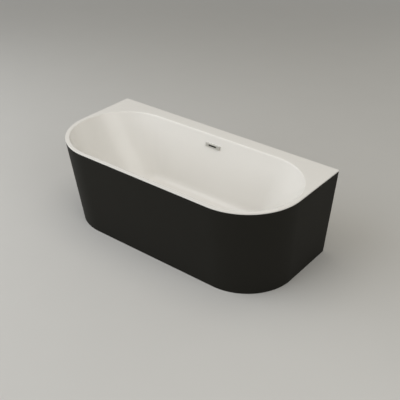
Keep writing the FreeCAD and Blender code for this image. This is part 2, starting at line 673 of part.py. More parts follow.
# ---- levelling feet -----------------------------------------------------------------
def foot_pad(x, y):
    foot = Part.makeCone(PAD_RADIUS, PAD_TOP_RADIUS, PAD_HEIGHT / 2, point(x, y, PAD_HEIGHT / 2))
    base = rod(PAD_RADIUS, PAD_HEIGHT / 2, point(x, y, 0))
    socket = rod(STUD_RADIUS + THREAD_CLEARANCE, PAD_SOCKET_DEPTH,
                 point(x, y, PAD_HEIGHT - PAD_SOCKET_DEPTH))
    return joined([base, foot]).cut(socket).Solids[0]


def foot_stud(x, y):
    bottom = PAD_HEIGHT - PAD_SOCKET_DEPTH
    top = RAIL_TOP + NUT_HEIGHT + FOOT_DROP + STUD_SPARE
    thread = rod(STUD_RADIUS, top - bottom, point(x, y, bottom))
    collar = hexagon(NUT_ACROSS_FLATS, point(x, y, PAD_HEIGHT), STUD_COLLAR_HEIGHT)
    return joined([thread, collar])


def foot_nuts():
    """Return the lower and upper nut that clamp each stud to its rail."""
    nuts = []
    for x, y in FEET.values():
        for z in (RAIL_BOTTOM - NUT_HEIGHT, RAIL_TOP):
            hole = rod(STUD_RADIUS + THREAD_CLEARANCE, NUT_HEIGHT, point(x, y, z))
            nuts.append(hexagon(NUT_ACROSS_FLATS, point(x, y, z), NUT_HEIGHT).cut(hole).Solids[0])
    return nuts


# ---- wall brackets ------------------------------------------------------------------
def wall_bracket(x):
    half = WALL_BRACKET_WIDTH / 2
    top = DECK_TIMBER_BOTTOM
    arm = block(x - half, x + half, DECK_BATTEN_FRONT, BACK, top - BRACKET_STEEL, top)
    leg = block(x - half, x + half, BACK - BRACKET_STEEL, BACK, top - WALL_BRACKET_LEG, top)
    hole = rod(WALL_BRACKET_HOLE_RADIUS, BRACKET_STEEL,
               point(x, BACK - BRACKET_STEEL, top - WALL_BRACKET_HOLE_DROP), TO_WALL)
    return joined([arm, leg]).cut([hole] + wall_bracket_screws()).Solids[0]


def wall_bracket_screws():
    """Return the screws that hold the wall brackets up against the rear batten."""
    y = (DECK_BATTEN_FRONT + DECK_BATTEN_BACK) / 2
    seat = DECK_TIMBER_BOTTOM - BRACKET_STEEL
    offset = WALL_BRACKET_SCREW_SPACING / 2
    return [
        screw(point(side * WALL_BRACKET_X + step, y, seat), UP, BRACKET_STEEL)
        for side in (-1, 1) for step in (-offset, offset)
    ]


# ---- overflow -----------------------------------------------------------------------
def centred(length, height, z_low, z_high):
    return block(-length / 2, length / 2, -height / 2, height / 2, z_low, z_high)


def overflow_cover():
    cap = centred(COVER_LENGTH, COVER_HEIGHT, 0, COVER_DEPTH)
    outer = [edge for edge in cap.Edges if edge.BoundBox.ZMax > COVER_DEPTH - NEAR]
    cap = cap.makeFillet(COVER_ROUNDING, outer)
    hollow = centred(COVER_LENGTH - 2 * COVER_WALL, COVER_HEIGHT - 2 * COVER_WALL,
                     0, COVER_DEPTH - COVER_WALL)
    slot = centred(COVER_SLOT_LENGTH, COVER_SLOT_HEIGHT, 0, COVER_DEPTH)
    return on_wall(cap.cut([hollow, slot]).Solids[0])


def overflow_screws():
    """Return the two screws that clamp the overflow's plate, wall, seal and flange together."""
    through = PLATE_THICKNESS + RIM_EDGE + OVERFLOW_SEAL + FLANGE_THICKNESS - SCREW_BITE
    return [
        on_wall(screw(point(x, 0, PLATE_THICKNESS), DOWN, through))
        for x in (-OVERFLOW_SCREW_X, OVERFLOW_SCREW_X)
    ]


def overflow_front_plate():
    inside = 2 * (COVER_WALL + PLATE_MARGIN)
    plate = centred(COVER_LENGTH - inside, COVER_HEIGHT - inside, 0, PLATE_THICKNESS)
    slot = obround(COVER_SLOT_LENGTH, COVER_SLOT_HEIGHT, 0, PLATE_THICKNESS)
    return on_wall(plate.cut(slot)).cut(overflow_screws()).Solids[0]


def overflow_seal():
    low = -RIM_EDGE - OVERFLOW_SEAL
    seal = centred(FLANGE_LENGTH, FLANGE_HEIGHT, low, -RIM_EDGE)
    slot = obround(WALL_SLOT_LENGTH, WALL_SLOT_HEIGHT, low, -RIM_EDGE)
    return on_wall(seal.cut(slot)).cut(overflow_screws()).Solids[0]


def overflow_body():
    """Return the moulding behind the wall: flange, chamber and a socket that points down."""
    face = -RIM_EDGE - OVERFLOW_SEAL
    floor = face - FLANGE_THICKNESS
    flange = centred(FLANGE_LENGTH, FLANGE_HEIGHT, floor, face)
    chamber = centred(CHAMBER_LENGTH, CHAMBER_HEIGHT, floor - CHAMBER_DEPTH, floor)
    hollow = centred(CHAMBER_LENGTH - 2 * MOULDING_WALL, CHAMBER_HEIGHT - 2 * MOULDING_WALL,
                     floor - CHAMBER_DEPTH + MOULDING_WALL, floor)
    slot = obround(WALL_SLOT_LENGTH, WALL_SLOT_HEIGHT, floor, face)
    inner = PIPE_RADIUS + SOCKET_CLEARANCE
    mouth = point(0, PIPE_FALL.y, PIPE_TOP - PIPE_INSERTION)
    rise = PIPE_FALL.z - mouth.z
    socket = rod(inner + SOCKET_WALL, rise, mouth)
    bore = rod(inner, PIPE_INSERTION, mouth)
    throat = rod(PIPE_RADIUS - PIPE_WALL, rise, mouth)
    solid = joined([on_wall(joined([flange, chamber])), socket])
    return solid.cut([on_wall(hollow), on_wall(slot), bore, throat] + overflow_screws()).Solids[0]


# ---- overflow pipe ------------------------------------------------------------------
PIPE_TOP = PIPE_FALL.z - CHAMBER_HEIGHT / 2 - MOULDING_WALL
INLET_STOP = BASIN_Y + BARREL_RADIUS + SOCKET_LENGTH - PIPE_INSERTION


def overflow_pipe():
    """Return the bent pipe: down behind the basin, round one bend, then forward to the waste."""
    y, bend = PIPE_FALL.y, PIPE_BEND
    bend_mid = bend * math.sqrt(0.5)
    start, down = point(0, y, PIPE_TOP), point(0, y, PIPE_Z + bend)
    corner = point(0, y - bend + bend_mid, PIPE_Z + bend - bend_mid)
    level, end = point(0, y - bend, PIPE_Z), point(0, INLET_STOP, PIPE_Z)
    path = Part.Wire([
        Part.LineSegment(start, down).toShape(),
        Part.Arc(down, corner, level).toShape(),
        Part.LineSegment(level, end).toShape(),
    ])

    def swept(radius):
        ring = Part.Wire([Part.makeCircle(radius, start, DOWN)])
        return path.makePipeShell([ring], True, False)

    return swept(PIPE_RADIUS).cut(swept(PIPE_RADIUS - PIPE_WALL)).Solids[0]


def pipe_nut(mouth, direction):
    """Return the clamp ring round a pipe socket, set back from the socket's mouth."""
    inner = PIPE_RADIUS + SOCKET_CLEARANCE + SOCKET_WALL
    return pipe(inner + PIPE_NUT_WALL, inner, PIPE_NUT_LENGTH, mouth, direction)


# ---- waste --------------------------------------------------------------------------
def on_axis(z):
    return point(0, BASIN_Y, z)


def waste_flange():
    disc = rod(WASTE_FLANGE_RADIUS, WASTE_FLANGE_THICKNESS, on_axis(FLANGE_BOTTOM))
    rim = [edge for edge in disc.Edges if edge.BoundBox.ZMin > FLANGE_TOP - NEAR]
    disc = disc.makeFillet(WASTE_FLANGE_THICKNESS / 2, rim)
    tube = rod(WASTE_TUBE_RADIUS, WASTE_TUBE_LENGTH, on_axis(FLANGE_BOTTOM - WASTE_TUBE_LENGTH))
    bore = rod(WASTE_TUBE_RADIUS - WASTE_TUBE_WALL, WASTE_TUBE_LENGTH + WASTE_FLANGE_THICKNESS,
               on_axis(FLANGE_BOTTOM - WASTE_TUBE_LENGTH))
    return joined([disc, tube]).cut(bore).Solids[0]


def waste_upper_seal():
    return pipe(WASTE_FLANGE_RADIUS, WASTE_HOLE_RADIUS, WASTE_SEAL,
                on_axis(FLANGE_BOTTOM - WASTE_SEAL))


def waste_lower_seal():
    return pipe(BODY_FLANGE_RADIUS, WASTE_HOLE_RADIUS, LOWER_SEAL, on_axis(BODY_TOP))


def waste_body():
    """Return the moulding under the floor: flange, barrel and a side socket for the overflow."""
    inner = BARREL_RADIUS - BARREL_WALL
    flange = rod(BODY_FLANGE_RADIUS, BODY_FLANGE, on_axis(BODY_TOP - BODY_FLANGE))
    barrel = rod(BARREL_RADIUS, BODY_TOP - BODY_BOTTOM, on_axis(BODY_BOTTOM))
    reach = BARREL_RADIUS + SOCKET_LENGTH
    socket_inner = PIPE_RADIUS + SOCKET_CLEARANCE
    side = rod(socket_inner + SOCKET_WALL, reach, on_axis(PIPE_Z), TO_WALL)
    bore = rod(inner, BODY_TOP - BODY_BOTTOM, on_axis(BODY_BOTTOM))
    throat = rod(PIPE_RADIUS - PIPE_WALL, reach, on_axis(PIPE_Z), TO_WALL)
    socket = rod(socket_inner, PIPE_INSERTION, point(0, INLET_STOP, PIPE_Z), TO_WALL)
    return joined([flange, barrel, side]).cut([bore, throat, socket]).Solids[0]


# ---- plug ---------------------------------------------------------------------------
SEAL_BOTTOM = FLANGE_TOP + PLUG_LIFT
CAP_BOTTOM_OPEN = SEAL_BOTTOM + PLUG_SEAL
GUIDE_TOP = FLANGE_BOTTOM - WASTE_SEAL


def plug_cap():
    disc = rod(PLUG_RADIUS, PLUG_EDGE, on_axis(CAP_BOTTOM_OPEN))
    sphere_radius = (PLUG_RADIUS ** 2 + PLUG_DOME ** 2) / (2 * PLUG_DOME)
    top = CAP_BOTTOM_OPEN + PLUG_EDGE
    ball = Part.makeSphere(sphere_radius, on_axis(top + PLUG_DOME - sphere_radius))
    dome = ball.common(rod(PLUG_RADIUS, 2 * PLUG_DOME, on_axis(top)))
    return joined([disc, dome])


def plug_seal():
    return pipe(PLUG_SEAL_RADIUS, PLUG_SEAL_RADIUS - PLUG_SEAL_WIDTH, PLUG_SEAL,
                on_axis(SEAL_BOTTOM))


def plug_stem():
    return rod(STEM_RADIUS, STEM_LENGTH, on_axis(CAP_BOTTOM_OPEN - STEM_LENGTH))


def plug_guide():
    """Return the spider in the waste's throat: a bored hub on four arms."""
    base = on_axis(GUIDE_TOP - GUIDE_HEIGHT)
    throat = WASTE_TUBE_RADIUS - WASTE_TUBE_WALL
    hub = rod(GUIDE_RADIUS, GUIDE_HEIGHT, base)
    half = GUIDE_ARM / 2
    z_low, z_high = GUIDE_TOP - GUIDE_HEIGHT, GUIDE_TOP
    arms = [block(-throat, throat, BASIN_Y - half, BASIN_Y + half, z_low, z_high),
            block(-half, half, BASIN_Y - throat, BASIN_Y + throat, z_low, z_high)]
    arms = [arm.common(rod(throat, GUIDE_HEIGHT, base)) for arm in arms]
    bore = rod(STEM_RADIUS + GUIDE_CLEARANCE, GUIDE_HEIGHT, base)
    return joined([hub] + arms).cut(bore).Solids[0]


def plug_spring():
    """Return the coil between the guide and the cap, as tall as the open plug leaves room for."""
    height = CAP_BOTTOM_OPEN - GUIDE_TOP
    rise = height - 2 * SPRING_WIRE
    helix = Part.makeHelix(rise / SPRING_TURNS, rise, SPRING_RADIUS)
    start = point(SPRING_RADIUS, 0, 0)
    pitch_tilt = math.atan2(rise / SPRING_TURNS, 2 * math.pi * SPRING_RADIUS)
    ring = Part.Wire([Part.makeCircle(
        SPRING_WIRE, start, point(0, math.cos(pitch_tilt), math.sin(pitch_tilt)))])
    coil = Part.Wire(helix.Edges).makePipeShell([ring], True, True)
    coil.translate(on_axis(GUIDE_TOP + SPRING_WIRE))
    return coil


# ---- trap ---------------------------------------------------------------------------
COLLAR_TOP = BODY_BOTTOM - UNION_CLEARANCE
COLLAR_BOTTOM = COLLAR_TOP - TRAP_COLLAR
UNION_BOTTOM = COLLAR_BOTTOM - UNION_CLEARANCE - UNION_WEB
TRAP_TOP = UNION_BOTTOM - TRAP_GAP
OUTLET_HEIGHT = RAIL_BOTTOM - OUTLET_BELOW_RAIL - OUTLET_RADIUS
TRAP_CAP_TOP = OUTLET_HEIGHT - OUTLET_ABOVE_CAP
CAP_BOTTOM = TRAP_CAP_TOP - CAP_THICKNESS
DIP_TUBE_END = TRAP_CAP_TOP + DIP_TUBE_GAP
OUTLET_SOCKET_INNER = OUTLET_RADIUS + UNION_CLEARANCE
OUTLET_SOCKET_END = BASIN_Y + TRAP_RADIUS + OUTLET_SOCKET_LENGTH


def trap_union_nut():
    """Return the ring screwed on the barrel, whose web holds the trap's collar up."""
    outer = rod(BARREL_RADIUS + UNION_WALL, BODY_BOTTOM + UNION_WEB - UNION_BOTTOM,
                on_axis(UNION_BOTTOM))
    wide = rod(BARREL_RADIUS, BODY_BOTTOM - UNION_BOTTOM, on_axis(UNION_BOTTOM + UNION_WEB))
    narrow = rod(NECK_RADIUS + UNION_CLEARANCE, UNION_WEB, on_axis(UNION_BOTTOM))
    return outer.cut([wide, narrow]).Solids[0]


def trap_body():
    """Return the bottle trap: collar, neck and dip tube in a cup with a side outlet."""
    collar = rod(BARREL_RADIUS - UNION_CLEARANCE, TRAP_COLLAR, on_axis(COLLAR_BOTTOM))
    neck = rod(NECK_RADIUS, COLLAR_TOP - DIP_TUBE_END, on_axis(DIP_TUBE_END))
    cup = pipe(TRAP_RADIUS, TRAP_RADIUS - TRAP_WALL, TRAP_TOP - TRAP_CAP_TOP, on_axis(TRAP_CAP_TOP))
    lid = rod(TRAP_RADIUS, TRAP_LID, on_axis(TRAP_TOP - TRAP_LID))
    socket_outer = OUTLET_SOCKET_INNER + TRAP_WALL
    start = point(0, BASIN_Y + TRAP_RADIUS - 2 * TRAP_WALL, OUTLET_HEIGHT)
    socket = rod(socket_outer, OUTLET_SOCKET_END - start.y, start, TO_WALL)
    way_out = rod(OUTLET_SOCKET_INNER, OUTLET_SOCKET_END - start.y, start, TO_WALL)
    way_in = rod(NECK_RADIUS - NECK_WALL, COLLAR_TOP - DIP_TUBE_END, on_axis(DIP_TUBE_END))
    inside = rod(TRAP_RADIUS - TRAP_WALL, TRAP_TOP - TRAP_LID - TRAP_CAP_TOP, on_axis(TRAP_CAP_TOP))
    socket = socket.cut(inside)
    return joined([collar, neck, cup, lid, socket]).cut([way_in, way_out]).Solids[0]


def trap_cap():
    cap = rod(TRAP_RADIUS, CAP_THICKNESS, on_axis(CAP_BOTTOM))
    spigot = rod(TRAP_RADIUS - TRAP_WALL, CAP_SPIGOT, on_axis(TRAP_CAP_TOP))
    way_out = rod(OUTLET_SOCKET_INNER + TRAP_WALL, TRAP_RADIUS,
                  point(0, BASIN_Y, OUTLET_HEIGHT), TO_WALL)
    return joined([cap, spigot]).cut(way_out).Solids[0]


def trap_outlet_nut():
    inner = OUTLET_SOCKET_INNER + TRAP_WALL
    start = point(0, OUTLET_SOCKET_END - OUTLET_NUT_LENGTH, OUTLET_HEIGHT)
    return pipe(inner + OUTLET_NUT_WALL, inner, OUTLET_NUT_LENGTH, start, TO_WALL)


def trap_outlet_pipe():
    """Return the straight pipe from the trap to the open end that a drain takes."""
    end = BACK - OUTLET_FROM_WALL
    start = point(0, OUTLET_SOCKET_END - OUTLET_SOCKET_LENGTH, OUTLET_HEIGHT)
    mouth = point(0, OUTLET_SOCKET_END, OUTLET_HEIGHT)
    inserted = rod(OUTLET_RADIUS - OUTLET_NECKING, OUTLET_SOCKET_LENGTH, start, TO_WALL)
    free = rod(OUTLET_RADIUS, end - mouth.y, mouth, TO_WALL)
    bore = rod(OUTLET_RADIUS - OUTLET_PIPE_WALL, end - start.y, start, TO_WALL)
    return joined([inserted, free]).cut(bore).Solids[0]


# ---- all the pieces -----------------------------------------------------------------
def build_nodes():
    nodes = {
        "tub_shell": tub_shell(),
        "glassfibre_layer": glassfibre_layer(),
        "base_board": base_board(),
        "rear_rim_batten": rear_rim_batten(),
        "corner_gusset_left": corner_gusset(-1),
        "corner_gusset_right": corner_gusset(1),
        "skirt_panel": skirt_panel(),
        "skirt_batten_front": skirt_batten_front(),
        "skirt_batten_left": skirt_batten_side(-1),
        "skirt_batten_right": skirt_batten_side(1),
        "skirt_bracket_screws": group(skirt_bracket_screws()),
        "frame_rail_front": frame_rail(FRONT_RAIL_Y, FRONT_RAIL_HALF_LENGTH),
        "frame_rail_rear": frame_rail(REAR_RAIL_Y, REAR_RAIL_HALF_LENGTH),
        "frame_bolts": group(frame_bolts()),
        "board_screws": group(board_screws()),
        "foot_nuts": group(foot_nuts()),
        "wall_bracket_left": wall_bracket(-WALL_BRACKET_X),
        "wall_bracket_right": wall_bracket(WALL_BRACKET_X),
        "wall_bracket_screws": group(wall_bracket_screws()),
        "overflow_cover": overflow_cover(),
        "overflow_front_plate": overflow_front_plate(),
        "overflow_seal": overflow_seal(),
        "overflow_body": overflow_body(),
        "overflow_screws": group(overflow_screws()),
        "overflow_pipe": overflow_pipe(),
        "overflow_pipe_nut_top": pipe_nut(
            point(0, PIPE_FALL.y, PIPE_TOP - PIPE_INSERTION), UP),
        "overflow_pipe_nut_bottom": pipe_nut(
            point(0, BASIN_Y + BARREL_RADIUS + SOCKET_LENGTH - PIPE_NUT_LENGTH, PIPE_Z), TO_WALL),
        "waste_flange": waste_flange(),
        "waste_upper_seal": waste_upper_seal(),
        "waste_lower_seal": waste_lower_seal(),
        "waste_body": waste_body(),
        "plug_cap": plug_cap(),
        "plug_seal": plug_seal(),
        "plug_stem": plug_stem(),
        "plug_guide": plug_guide(),
        "plug_spring": plug_spring(),
        "trap_union_nut": trap_union_nut(),
        "trap_body": trap_body(),
        "trap_cap": trap_cap(),
        "trap_outlet_nut": trap_outlet_nut(),
        "trap_outlet_pipe": trap_outlet_pipe(),
    }
    for number, x in enumerate(CROSSBAR_X, 1):
        nodes[f"frame_crossbar_{number}"] = frame_crossbar(x)
    for name, bracket in skirt_brackets().items():
        nodes[f"skirt_bracket_{name}"] = bracket
    for name, (x, y) in FEET.items():
        nodes[f"foot_pad_{name}"] = foot_pad(x, y)
        nodes[f"foot_stud_{name}"] = foot_stud(x, y)
    return nodes


os.makedirs("parts", exist_ok=True)
for node, shape in build_nodes().items():
    print(node, "valid" if shape.isValid() else "BROKEN", len(shape.Solids), round(shape.Volume))
    shape.exportStep(f"parts/{node}.step")
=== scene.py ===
"""The looks of a back-to-wall bathtub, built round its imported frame.

Lengths inside the classes are in millimetres, in the frame's own axes: X along the bath, Y towards
the room's wall, Z up from the floor. Each finished piece is scaled to metres as it is handed over.
A turned piece is drawn as a profile: (radius, height) points that run from its bottom to its top.
"""

import logging
import math
from collections.abc import Callable, Mapping, Sequence
from dataclasses import dataclass
from enum import Enum
from typing import ClassVar, Union

import bmesh
import bpy
from mathutils import Matrix, Vector

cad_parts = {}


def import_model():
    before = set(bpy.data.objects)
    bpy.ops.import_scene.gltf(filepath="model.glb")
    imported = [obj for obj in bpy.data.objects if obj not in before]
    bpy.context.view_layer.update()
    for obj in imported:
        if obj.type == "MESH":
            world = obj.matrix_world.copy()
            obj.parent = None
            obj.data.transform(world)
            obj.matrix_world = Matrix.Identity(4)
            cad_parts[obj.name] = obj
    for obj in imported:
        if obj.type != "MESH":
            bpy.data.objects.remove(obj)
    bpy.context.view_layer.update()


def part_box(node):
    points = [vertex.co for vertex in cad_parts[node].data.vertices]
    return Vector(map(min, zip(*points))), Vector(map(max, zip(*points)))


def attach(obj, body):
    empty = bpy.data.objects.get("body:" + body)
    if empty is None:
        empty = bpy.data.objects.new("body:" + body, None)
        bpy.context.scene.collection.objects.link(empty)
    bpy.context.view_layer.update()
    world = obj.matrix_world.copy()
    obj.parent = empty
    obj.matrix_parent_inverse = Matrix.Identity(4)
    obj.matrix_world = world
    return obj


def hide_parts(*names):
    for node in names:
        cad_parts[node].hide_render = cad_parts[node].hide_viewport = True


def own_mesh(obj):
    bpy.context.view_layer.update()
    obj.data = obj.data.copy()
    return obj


LOG = logging.getLogger("bathtub")
METRE = 1000.0
UP = Vector((0.0, 0.0, 1.0))
MIDDLE_Y = -32.0  # the basin's middle line, with the waste and the trap on it
SCREW_HEAD = 2.5
Triple = tuple[float, float, float]
EVEN: Triple = (1.0, 1.0, 1.0)


class Direction(Enum):
    """Ways that a turned piece's axis may point."""

    UP = "up"
    TO_WALL = "to wall"

    def matrix(self) -> Matrix:
        """Return the turn that takes the upright axis to this one."""
        return Matrix.Rotation(math.radians(-90), 4, "X") if self is Direction.TO_WALL else Matrix()


# ---- material maths -------------------------------------------------------------------------


class Value:
    """A node's output that Python's operators work on; each one adds its Math node."""

    def __init__(self, bench: "Bench", socket: bpy.types.NodeSocket | None) -> None:
        """Wrap a socket of a tree on a bench."""
        self.bench = bench
        self.socket = socket

    def maths(self, operation: str, *terms: "Term") -> "Value":
        """Return one Math node's result over the given terms."""
        return self.bench.node("ShaderNodeMath", {"operation": operation}, dict(enumerate(terms)))

    def __add__(self, other: "Term") -> "Value":
        """Return the sum."""
        return self.maths("ADD", self, other)

    def __radd__(self, other: "Term") -> "Value":
        """Return the sum, the value standing second."""
        return self.maths("ADD", other, self)

    def __sub__(self, other: "Term") -> "Value":
        """Return the difference."""
        return self.maths("SUBTRACT", self, other)

    def __rsub__(self, other: "Term") -> "Value":
        """Return the difference, the value standing second."""
        return self.maths("SUBTRACT", other, self)

    def __mul__(self, other: "Term") -> "Value":
        """Return the product."""
        return self.maths("MULTIPLY", self, other)

    def __rmul__(self, other: "Term") -> "Value":
        """Return the product, the value standing second."""
        return self.maths("MULTIPLY", other, self)

    def __mod__(self, other: "Term") -> "Value":
        """Return the remainder."""
        return self.maths("FLOORED_MODULO", self, other)

    def __gt__(self, other: "Term") -> "Value":
        """Return 1 where the value is greater, and 0 elsewhere."""
        return self.maths("GREATER_THAN", self, other)

    def floor(self) -> "Value":
        """Return the value rounded down."""
        return self.maths("FLOOR", self)


Term = Union[Value, float]


class Bench:
    """A material or world under construction: its node tree and the ways to put nodes on it."""

    def __init__(self, owner: bpy.types.Material | bpy.types.World) -> None:
        """Clear the owner's node tree.

        Args:
            owner: the material or world to draw.
        """
        self.owner = owner
        owner.use_nodes = True
        self.tree = owner.node_tree
        self.tree.nodes.clear()

    @classmethod
    def for_material(cls, name: str) -> "Bench":
        """Start a new material."""
        return cls(bpy.data.materials.new(name))

    def node(
        self,
        kind: str,
        settings: Mapping[str, object] | None = None,
        inputs: Mapping[str | int, object] | None = None,
        output: str | int = 0,
    ) -> Value:
        """Add a node.

        Args:
            kind: the node's type.
            settings: its own properties; a colour ramp's "stops" are (place, colour) pairs.
            inputs: a number, vector, colour or Value for each socket named or numbered.
            output: which of its outputs to return, by name or number.

        Returns:
            That output, or an empty Value from a node that has none.
        """
        made = self.tree.nodes.new(kind)
        for key, setting in (settings or {}).items():
            if key == "stops":
                self._set_stops(made.color_ramp, setting)
            else:
                setattr(made, key, setting)
        for key, given in (inputs or {}).items():
            if isinstance(given, Value):
                self.tree.links.new(given.socket, made.inputs[key])
            else:
                made.inputs[key].default_value = given
        return Value(self, made.outputs[output] if made.outputs else None)

    @staticmethod
    def _set_stops(ramp: bpy.types.ColorRamp, stops: Sequence[tuple[float, Triple]]) -> None:
        """Give a colour ramp exactly the stops listed.

        Args:
            ramp: the ramp.
            stops: (place, colour) pairs, at least two.
        """
        while len(ramp.elements) < len(stops):
            ramp.elements.new(1.0)
        for element, (place, colour) in zip(ramp.elements, stops):
            element.position = place
            element.color = (*colour, 1.0)

    def place(self, stretch: Sequence[float] = EVEN) -> Value:
        """Return the object's own coordinates in metres, times stretch along each axis."""
        where = self.node("ShaderNodeTexCoord", output="Object")
        return self.node("ShaderNodeMapping", None, {"Vector": where, "Scale": tuple(stretch)})

    def along(self, direction: Sequence[float]) -> Value:
        """Return how far a point lies along a direction, in metres."""
        ends = {0: self.node("ShaderNodeTexCoord", output="Object"), 1: tuple(direction)}
        return self.node("ShaderNodeVectorMath", {"operation": "DOT_PRODUCT"}, ends, "Value")

    def noise(
        self, scale: float, detail: float = 2.0, stretch: Sequence[float] = EVEN,
        distortion: float = 0.0,
    ) -> Value:
        """Return a noise that runs from about 0 to 1.

        Args:
            scale: how many features a metre holds.
            detail: how many finer layers lie over them.
            stretch: how many times closer they stand along each axis.
            distortion: how far they are twisted.

        Returns:
            The noise.
        """
        inputs = {"Vector": self.place(stretch), "Scale": scale, "Detail": detail}
        return self.node("ShaderNodeTexNoise", None, {**inputs, "Distortion": distortion})

    def cells(self, scale: float, stretch: Sequence[float]) -> Value:
        """Return a grey that is constant over each cell of a broken pattern.

        Args:
            scale: how many cells a metre holds.
            stretch: how many times closer they stand along each axis.

        Returns:
            The grey, from 0 to 1.
        """
        inputs = {"Vector": self.place(stretch), "Scale": scale}
        colour = self.node("ShaderNodeTexVoronoi", None, inputs, "Color")
        return self.node("ShaderNodeSeparateColor", None, {0: colour})

    def ramp(self, value: Value, *stops: tuple[float, Triple]) -> Value:
        """Return the colour that a value picks from a ramp."""
        return self.node("ShaderNodeValToRGB", {"stops": stops}, {0: value})

    def mix(self, factor: Term, low: object, high: object) -> Value:
        """Return a mix of two colours."""
        inputs = {0: factor, 6: self._opaque(low), 7: self._opaque(high)}
        return self.node("ShaderNodeMix", {"data_type": "RGBA"}, inputs, 2)

    @staticmethod
    def _opaque(colour: object) -> object:
        """Return a plain colour with its alpha, and leave a Value as it is."""
        return colour if isinstance(colour, Value) else (*colour, 1.0)

    def bump(self, height: Value, strength: float, distance: float) -> Value:
        """Return the normal of a surface raised by height."""
        inputs = {"Strength": strength, "Distance": distance, "Height": height}
        return self.node("ShaderNodeBump", None, inputs)

    def seen(self) -> Value:
        """Return 1 for the camera's rays and those it sees in gloss or through glass, else 0.

        Returns:
            The mask.
        """
        camera, glossy, through = (
            self.node("ShaderNodeLightPath", output=f"Is {ray} Ray")
            for ray in ("Camera", "Glossy", "Transmission")
        )
        return camera.maths("MAXIMUM", camera, camera.maths("MAXIMUM", glossy, through))

    def principled(self, **sockets: object) -> Value:
        """Return the general surface shader.

        Args:
            sockets: what goes to each socket, its name written with _ for a space.

        Returns:
            The shader.
        """
        inputs = {key.replace("_", " "): given for key, given in sockets.items()}
        inputs["Base Color"] = self._opaque(inputs["Base Color"])
        return self.node("ShaderNodeBsdfPrincipled", None, inputs)

    def finish(self, shader: Value) -> bpy.types.Material:
        """Show a shader on the surface and return the material."""
        self.node("ShaderNodeOutputMaterial", None, {"Surface": shader})
        return self.owner

    def surface(self, **sockets: object) -> bpy.types.Material:
        """Finish the material with the general surface shader, given its sockets."""
        return self.finish(self.principled(**sockets))


def shade(colour: Triple, factor: float) -> Triple:
    """Return a colour made lighter or darker."""
    red, green, blue = colour
    return (red * factor, green * factor, blue * factor)


# ---- finishes -------------------------------------------------------------------------------


@dataclass(frozen=True)
class Finish:
    """What a piece is made of: the record's slot and the way its surface is drawn."""

    slot: str
    colour: Triple
    _made: ClassVar[dict["Finish", bpy.types.Material]] = {}

    def material(self) -> bpy.types.Material:
        """Return the finish's material, made once.

        Returns:
            The material.
        """
        if self not in self._made:
            self._made[self] = self.draw(Bench.for_material(f"{self.slot}_{len(self._made) + 1}"))
        return self._made[self]

    def tones(self, value: Value, *stops: tuple[float, float]) -> Value:
        """Return the shade that a value picks, each stop being (place, lightness)."""
        ramp = ((place, shade(self.colour, factor)) for place, factor in stops)
        return value.bench.ramp(value, *ramp)

    def draw(self, bench: Bench) -> bpy.types.Material:
        """Draw the surface on a bench and return its material."""
        raise NotImplementedError


@dataclass(frozen=True)
class Acrylic(Finish):
    """Cast acrylic sheet, drawn over a mould: smooth, with a very slight waviness."""

    roughness: float
    specular: float = 0.5
    grain: float = 0.0

    def draw(self, bench: Bench) -> bpy.types.Material:
        """Draw broad, faint changes of tone, a wavy gloss and the mould's ripple.

        Args:
            bench: where the surface is drawn.

        Returns:
            The material.
        """
        fine = bench.noise(900.0, 3.0)
        polish = bench.noise(7.0, 3.0)
        ripple = bench.noise(22.0, 1.0) + self.grain * fine
        return bench.surface(
            Base_Color=self.tones(bench.noise(1.6, 1.0), (0.3, 0.985), (0.7, 1.0)),
            Roughness=self.roughness + 0.05 * polish + 0.04 * fine,
            Specular_IOR_Level=self.specular,
            Normal=bench.bump(ripple, 0.12, 0.0004),
        )


@dataclass(frozen=True)
class Laminate(Finish):
    """Chopped glass strands rolled out in resin, left raw."""

    def draw(self, bench: Bench) -> bpy.types.Material:
        """Draw crossing strands, pale fibres in a yellower resin, and brush dabs.

        Args:
            bench: where the surface is drawn.

        Returns:
            The material.
        """
        first = bench.noise(70.0, 4.0, (1.0, 6.0, 1.0), 1.6)
        second = bench.noise(80.0, 4.0, (6.0, 1.0, 1.0), 1.6)
        strands = first.maths("MAXIMUM", first, second)
        pools = bench.noise(14.0, 3.0)
        resin = self.tones(pools, (0.3, 0.82), (0.7, 1.0))
        mask = bench.node("ShaderNodeMapRange", None, {0: strands, 1: 0.52, 2: 0.72})
        return bench.surface(
            Base_Color=bench.mix(mask, resin, shade(self.colour, 1.22)),
            Roughness=0.38 + 0.3 * pools,
            Specular_IOR_Level=0.45,
            Normal=bench.bump(strands + 0.8 * pools, 0.7, 0.0022),
        )


@dataclass(frozen=True)
class Chipboard(Finish):
    """Pressed wood chips."""

    def draw(self, bench: Bench) -> bpy.types.Material:
        """Draw flat chips of several browns with pits between them.

        Args:
            bench: where the surface is drawn.

        Returns:
            The material.
        """
        small = bench.cells(520.0, (0.7, 1.0, 1.6))
        chips = 0.65 * bench.cells(210.0, (1.0, 0.6, 2.4)) + 0.35 * small
        return bench.surface(
            Base_Color=self.tones(chips, (0.1, 0.52), (0.35, 0.86), (0.65, 1.0), (0.95, 1.25)),
            Roughness=0.72 + 0.16 * small,
            Specular_IOR_Level=0.3,
            Normal=bench.bump(chips, 0.35, 0.0008),
        )


